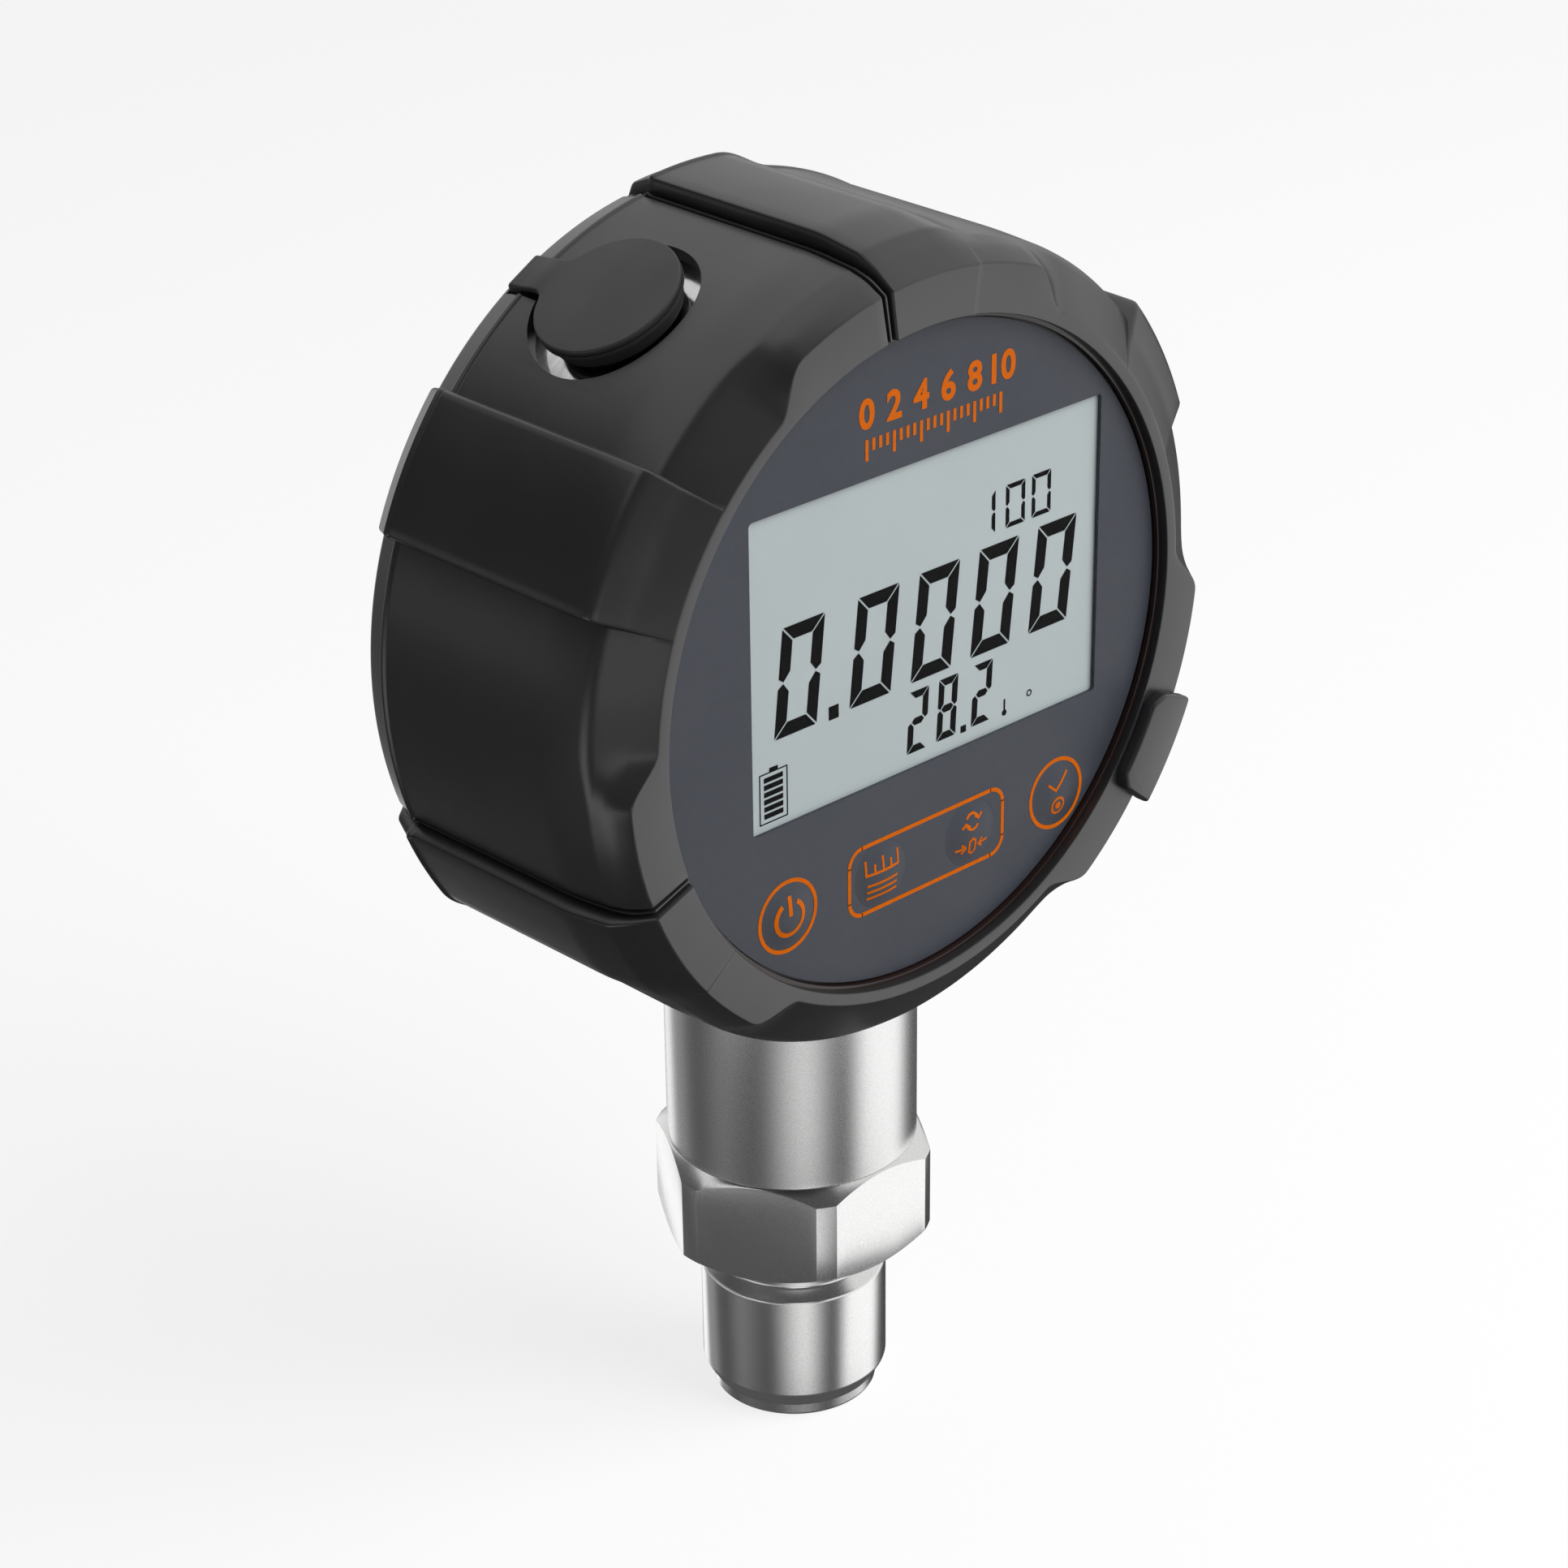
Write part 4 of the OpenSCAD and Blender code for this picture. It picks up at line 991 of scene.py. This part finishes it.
class GAUGE_OT_display(bpy.types.Operator):
    """Draws the display's figures and marks on the glass"""

    bl_idname = "gauge.display"
    bl_label = "Display figures"

    def execute(self, context):
        depth = sizes().lcd_dep - SUNK
        on = lambda x, z: depth
        bm = bmesh.new()
        for text, starts, low, form in FIGURE_ROWS:
            for char, left in zip(text, starts):
                figure(bm, char, left, low, *form, depth)
        for point in POINTS:
            block_mark(bm, *point, depth)
        # battery sign with its bars
        x0, x1, z0, z1 = -21.15, -17.6, -10.95, -5.75
        stroke(bm, [(x0, z0), (x1, z0), (x1, z1), (x0, z1), (x0, z0)], 0.12, on)
        block_mark(bm, -19.9, z1 + 0.05, -18.8, z1 + 0.45, depth)
        for k in range(6):
            low = z0 + 0.45 + k * 0.76
            block_mark(bm, x0 + 0.55, low, x1 - 0.55, low + 0.52, depth)
        # thermometer and degree ring
        stroke(bm, [(12.3, -9.9), (12.3, -8.8)], 0.2, on)
        ring_line(bm, 12.3, -10.2, 0.16, 0.32, on)
        ring_line(bm, 15.9, -9.2, 0.3, 0.13, on)
        bmesh.ops.recalc_face_normals(bm, faces=bm.faces[:])
        ink = printed_ink("figure_ink", finishes().figures, (0.3, 0.4), 0.02)
        new_piece("display_figures", bm, ink)
        return {"FINISHED"}


def numerals(bm, text, size, x, z, depth, bold):
    """Adds plain numbers in the built-in type, their foot at x and z."""
    curve = bpy.data.curves.new("numerals", "FONT")
    curve.body = text
    curve.size = size * MM
    curve.offset = bold * MM
    curve.resolution_u = 6
    curve.align_x = "CENTER"
    maker = bpy.data.objects.new("numerals", curve)
    bpy.context.scene.collection.objects.link(maker)
    graph = bpy.context.evaluated_depsgraph_get()
    mesh = bpy.data.meshes.new_from_object(maker.evaluated_get(graph))
    bpy.data.objects.remove(maker)
    part = bmesh.new()
    part.from_mesh(mesh)
    bmesh.ops.remove_doubles(part, verts=part.verts[:], dist=MERGE)
    thicken(part, part.faces[:], Vector(UP) * INK)
    bmesh.ops.recalc_face_normals(part, faces=part.faces[:])
    place = Matrix.Translation(dial(x * MM, z * MM, depth)) @ Matrix.Rotation(math.pi / 2, 4, "X")
    bmesh.ops.transform(part, matrix=place, verts=part.verts[:])
    take_in(bm, part)


class GAUGE_OT_print(bpy.types.Operator):
    """Prints the panel: a numbered scale, the key rings and the frame of the middle keys"""

    bl_idname = "gauge.print"
    bl_label = "Panel print"

    def execute(self, context):
        s = sizes()
        depth = s.panel_dep
        flat = lambda x, z: depth
        width = s.line_w / MM
        bm = bmesh.new()
        for name in ("key_power", "key_set"):
            ring_line(bm, KEYS[name] + KEY_SIDE, KEY_ROW, 3.72, width, flat)
        # rounded frame around the two middle keys
        half_w, half_h, r = 10.8, 3.65, 1.8
        mid = KEY_SIDE + 0.2
        for sx, sz, start in ((1, 1, 0), (-1, 1, 90), (-1, -1, 180), (1, -1, 270)):
            corner = (mid + sx * (half_w - r), KEY_ROW + sz * (half_h - r))
            ring_line(bm, *corner, r, width, flat, start, 90)
        for side in (1, -1):
            z = KEY_ROW + side * half_h
            stroke(bm, [(mid - half_w + r, z), (mid + half_w - r, z)], width, flat)
            x = mid + side * half_w
            stroke(bm, [(x, KEY_ROW - half_h + r), (x, KEY_ROW + half_h - r)], width, flat)
        # numbered scale over the display
        first, numbers, foot, top = -7.4, 6, 25.5, 24.3
        for k in range(numbers):
            numerals(bm, str(k * 2), 4.0, first + k * 3.6, foot, depth, 0.13)
        for k in range(4 * (numbers - 1) + 1):
            x = first + k * 0.9
            block_mark(bm, x - 0.2, top - (2.1 if k % 4 == 0 else 1.2), x + 0.2, top, depth)
        bmesh.ops.recalc_face_normals(bm, faces=bm.faces[:])
        new_piece("panel_print", bm, printed_ink("panel_ink", finishes().orange))
        return {"FINISHED"}


class GAUGE_OT_finishes(bpy.types.Operator):
    """Gives every piece that stays from the CAD part its finish"""

    bl_idname = "gauge.finishes"
    bl_label = "Finishes of the CAD pieces"

    def execute(self, context):
        c = finishes()
        seal = moulded_rubber("seal_rubber", (0.015, 0.015, 0.015))
        dark = coloured_plastic("dark_plastic", (0.02, 0.02, 0.022))
        looks = (
            (polished_steel("case_polish", c.case_steel), "case_shell"),
            (turned_steel("cover_steel", c.case_steel, (0.25, 0.36), 0.25), "rear_cover"),
            (turned_steel("sensor_steel", c.steel), "sensor_capsule", "sensor_ring"),
            (polished_steel("screw_bright", (0.62, 0.62, 0.63)), "rear_screws", "board_screws"),
            (polished_steel("plated_metal", (0.66, 0.63, 0.55)), "battery_contacts", "charge_socket"),
            (polished_steel("post_brass", (0.6, 0.42, 0.16)), "charge_posts"),
            (seal, "rear_gasket", "bezel_seal", "sensor_seal", "wire_grommet"),
            (satin_film("panel_film", c.panel), "front_film"),
            (clear_window("window_clear"), "window_pane"),
            (display_face("display_face", c.display), "lcd_glass"),
            (coloured_plastic("diffuser", (0.75, 0.77, 0.78)), "lcd_backlight"),
            (coloured_plastic("strip_silicone", (0.6, 0.25, 0.3)), "lcd_strips"),
            (dark, "front_plate", "key_switches", "battery_holder", "port_bush"),
            (coloured_plastic("chip_moulding", (0.015, 0.015, 0.017)), "board_parts"),
            (gloss_plastic("board_mask", (0.01, 0.09, 0.04), (0.25, 0.35)), "main_board", "charge_board"),
            (gloss_plastic("cell_sleeve", (0.04, 0.2, 0.08)), "battery_cell"),
            (gloss_plastic("wire_sleeve", (0.4, 0.02, 0.015), (0.25, 0.35)), "sensor_wires"),
        )
        for look, *nodes in looks:
            for node in nodes:
                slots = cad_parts[node].data.materials
                if len(slots) == 0:
                    slots.append(look)
                for i in range(len(slots)):
                    slots[i] = look
        return {"FINISHED"}


# stage

# brightness of the reflections by azimuth in degrees; the cards lie where the surfaces reflect
METAL_TONES = (
    (-180, 0.1), (-171, 0.07), (-161, 0.09), (-152, 0.22), (-143, 0.42), (-133, 0.64), (-120, 0.8),
    (-110, 0.6), (-102, 0.36), (-96, 0.2), (-88, 0.08), (-79, 0.12), (-70, 0.6), (-62, 1.0), (-20, 1.0),
    (-11, 0.6), (-4, 0.2), (8, 0.05), (58, 0.05), (66, 1.0), (83, 1.0), (91, 0.2), (106, 0.27),
    (119, 0.09), (134, 0.07), (158, 0.17), (168, 0.14), (180, 0.1),
)
RUBBER_TONES = (
    (-180, 1.0), (-170, 1.0), (-162, 0.1), (-140, 0.08), (-131, 0.35), (-122, 0.35), (-114, 0.07),
    (-104, 0.25), (-96, 1.0), (-10, 1.0), (5, 0.1), (62, 0.1), (72, 0.8), (90, 0.6), (104, 0.1),
    (163, 0.1), (172, 1.0), (180, 1.0),
)
STRIP_TONES = (
    (-180, 0.1), (-144, 0.07), (-136, 1.0), (-118, 1.0), (-110, 0.07), (-70, 0.07), (-58, 0.5),
    (95, 0.5), (104, 0.15), (125, 0.35), (150, 0.35), (165, 0.1), (180, 0.1),
)
DARK_TONES = (
    (-180, 0.1), (-140, 0.07), (-70, 0.07), (-58, 0.5), (95, 0.5), (104, 0.1), (140, 0.06), (180, 0.1),
)
EVEN_TONES = ((-180, 0.08), (180, 0.08))
CARD_STEPS = 24
CARD_GLOW = 1.15
# how far the cards for the metal lie below the floor
DEEP = 0.8
# the floor's own glow where it is seen, and the world's light on the object
FLOOR_LIFT = 0.77
WORLD_LIGHT = 0.25
CAMERA_AT = (-0.24129, -0.25486, 0.23466)
# the camera's yaw, pitch and roll in degrees, and its focal length in millimetres
CAMERA_TURN = (-43.371, 26.168, 0.729)
LENS = 88.01
LAMP_AT = (0.38, -0.68, 0.70)
LAMP_SIZE = 0.95
LAMP_POWER = 11.0
LAMP_AIM = (0, 0, 0.06)


def card(name, bm, tones):
    """A card that only glossy surfaces see, with its tones by azimuth."""
    board = as_object(bm, name)
    mat = bpy.data.materials.new(name + "_tones")
    tree = tree_of(mat)
    around = add(tree, "TexGradient", Vector=add(tree, "TexCoord").outputs["Object"])
    around.gradient_type = "RADIAL"
    ramp = add(tree, "ValToRGB", Fac=around.outputs["Fac"])
    marks = ramp.color_ramp.elements
    for azimuth, grey in tones:
        if abs(azimuth) == 180:
            mark = marks[0 if azimuth < 0 else -1]
        else:
            mark = marks.new(azimuth / 360 + 0.5)
        mark.color = (grey, grey, grey, 1)
    glow = add(tree, "Emission", Color=ramp.outputs["Color"], Strength=CARD_GLOW)
    feed(tree.nodes["Material Output"], Surface=glow.outputs["Emission"])
    board.data.materials.append(mat)
    board.visible_camera = False
    board.visible_diffuse = False
    board.visible_shadow = False
    board.visible_transmission = False


def reflection_cards(low):
    """Cards around and below the gauge, for its reflections alone."""
    deep = low - DEEP
    for name, first, last, near, far, tones in (
        ("deep_card", -180, 180, (0.001, deep), (0.95, deep), EVEN_TONES),
        ("ring_card", -180, 180, (0.95, deep), (3.0, deep), METAL_TONES),
        ("floor_card", -180, 180, (0.135, low), (2.5, low), RUBBER_TONES),
        ("wall_card", 98, 262, (0.6, low), (0.6, 0.12), STRIP_TONES),
        ("upper_card", 98, 262, (0.6, 0.12), (0.6, 0.6), DARK_TONES),
        ("near_card", 262, 302, (0.6, 0.1), (0.6, 0.6), DARK_TONES),
        ("high_card", 190, 302, (0.6, 0.6), (0.2, 1.1), DARK_TONES),
    ):
        bm = bmesh.new()
        for k in range(CARD_STEPS):
            a0, a1 = (first + (last - first) * (k + j) / CARD_STEPS for j in (0, 1))
            corners = ((near, a0), (near, a1), (far, a1), (far, a0))
            verts = [bm.verts.new((*polar(r, a), z)) for (r, z), a in corners]
            bmesh.ops.contextual_create(bm, geom=verts)
        bmesh.ops.remove_doubles(bm, verts=bm.verts[:], dist=1e-6)
        card(name, bm, tones)


def background_seen(tree):
    """One where the camera, a gloss or a clear piece sees the background itself."""
    path = tree.nodes.new("ShaderNodeLightPath")
    out = path.outputs["Is Camera Ray"]
    for kind in ("Is Glossy Ray", "Is Transmission Ray"):
        most = tree.nodes.new("ShaderNodeMath")
        most.operation = "MAXIMUM"
        tree.links.new(out, most.inputs[0])
        tree.links.new(path.outputs[kind], most.inputs[1])
        out = most.outputs[0]
    return out


def floor_paper():
    """Matt pale paper, lifted towards white where it is seen."""
    mat = bpy.data.materials.new("floor_paper")
    tree = tree_of(mat)
    seen = background_seen(tree)
    tone = tree.nodes.new("ShaderNodeMix")
    tone.data_type = "RGBA"
    feed(tone, Factor=seen, A=(0.36, 0.36, 0.36, 1), B=(0.27, 0.27, 0.27, 1))
    lift = tree.nodes.new("ShaderNodeMath")
    lift.operation = "MULTIPLY"
    lift.inputs[1].default_value = FLOOR_LIFT
    tree.links.new(seen, lift.inputs[0])
    feed(
        tree.nodes["Principled BSDF"], Base_Color=tone.outputs["Result"], Roughness=1.0,
        Specular_IOR_Level=0.0, Emission_Color=(1, 1, 1, 1), Emission_Strength=lift.outputs[0],
    )
    return mat


def studio_world():
    """White where it is seen, a plain grey light on the object."""
    world = bpy.data.worlds.new("studio")
    tree = tree_of(world)
    grey = feed(tree.nodes["Background"], Color=(1, 1, 1, 1), Strength=WORLD_LIGHT)
    white = add(tree, "Background", Strength=1.0)
    mix = add(tree, "MixShader", Fac=background_seen(tree))
    tree.links.new(grey.outputs["Background"], mix.inputs[1])
    tree.links.new(white.outputs["Background"], mix.inputs[2])
    feed(tree.nodes["World Output"], Surface=mix.outputs["Shader"])
    return world


def soft_lamp():
    """One wide lamp before and above the gauge."""
    light = bpy.data.lights.new("key_lamp", "AREA")
    light.shape = "RECTANGLE"
    light.size = LAMP_SIZE
    light.size_y = LAMP_SIZE
    light.energy = LAMP_POWER
    lamp = bpy.data.objects.new("key_lamp", light)
    lamp.location = LAMP_AT
    lamp.rotation_euler = (Vector(LAMP_AIM) - Vector(LAMP_AT)).to_track_quat("-Z", "Y").to_euler()
    lamp.visible_glossy = False
    return lamp


def photo_camera():
    """Camera at the photograph's place."""
    yaw, pitch, roll = (math.radians(a) for a in CAMERA_TURN)
    level = math.cos(pitch)
    back = Vector((math.sin(yaw) * level, -math.cos(yaw) * level, math.sin(pitch)))
    right = Vector((math.cos(yaw), math.sin(yaw), 0))
    up = back.cross(right)
    c, n = math.cos(roll), math.sin(roll)
    axes = Matrix((right * c - up * n, right * n + up * c, back)).transposed()
    data = bpy.data.cameras.new("camera")
    data.sensor_width = 36
    data.lens = LENS
    data.clip_start = 0.01
    camera = bpy.data.objects.new("camera", data)
    camera.matrix_world = Matrix.Translation(CAMERA_AT) @ axes.to_4x4()
    return camera


class GAUGE_OT_stage(bpy.types.Operator):
    """Sets up the pale floor, the soft studio light and the camera"""

    bl_idname = "gauge.stage"
    bl_label = "Stage"

    def execute(self, context):
        scene = context.scene
        low = sizes().stub_low
        bm = bmesh.new()
        under = Matrix.Translation((0, 0, low - 0.05 * MM))
        bmesh.ops.create_grid(bm, x_segments=8, y_segments=8, size=3.0, matrix=under)
        floor = as_object(bm, "floor")
        floor.data.materials.append(floor_paper())
        floor.visible_glossy = False
        scene.world = studio_world()
        reflection_cards(low)
        scene.collection.objects.link(soft_lamp())
        camera = photo_camera()
        scene.collection.objects.link(camera)
        scene.camera = camera
        scene.view_settings.view_transform = "Standard"
        return {"FINISHED"}


class GAUGE_PT_pieces(bpy.types.Panel):
    """Lists the pieces of the gauge"""

    bl_label = "Pressure gauge"
    bl_idname = "GAUGE_PT_pieces"
    bl_space_type = "VIEW_3D"
    bl_region_type = "UI"
    bl_category = "Gauge"

    def draw(self, context):
        for step in STEPS:
            self.layout.operator(step.bl_idname)
        for group in (context.scene.gauge_sizes, context.scene.gauge_finishes):
            for name in group.bl_rna.properties.keys():
                if name not in ("rna_type", "name"):
                    self.layout.prop(group, name)


STEPS = (
    GAUGE_OT_stage, GAUGE_OT_finishes, GAUGE_OT_boot, GAUGE_OT_plug, GAUGE_OT_neck, GAUGE_OT_bezel,
    GAUGE_OT_keys, GAUGE_OT_display, GAUGE_OT_print,
)
CLASSES = (GaugeSizes, GaugeFinishes) + STEPS + (GAUGE_PT_pieces,)


def register():
    for cls in CLASSES:
        bpy.utils.register_class(cls)
    bpy.types.Scene.gauge_sizes = bpy.props.PointerProperty(type=GaugeSizes)
    bpy.types.Scene.gauge_finishes = bpy.props.PointerProperty(type=GaugeFinishes)


def unregister():
    del bpy.types.Scene.gauge_finishes
    del bpy.types.Scene.gauge_sizes
    for cls in reversed(CLASSES):
        bpy.utils.unregister_class(cls)


def main():
    register()
    bpy.ops.gauge.stage()
    bpy.ops.gauge.finishes()
    bpy.ops.gauge.boot()
    bpy.ops.gauge.plug()
    bpy.ops.gauge.neck()
    bpy.ops.gauge.bezel()
    bpy.ops.gauge.keys()
    bpy.ops.gauge.display()
    bpy.ops.gauge.print()


if __name__ == "__main__":
    main()
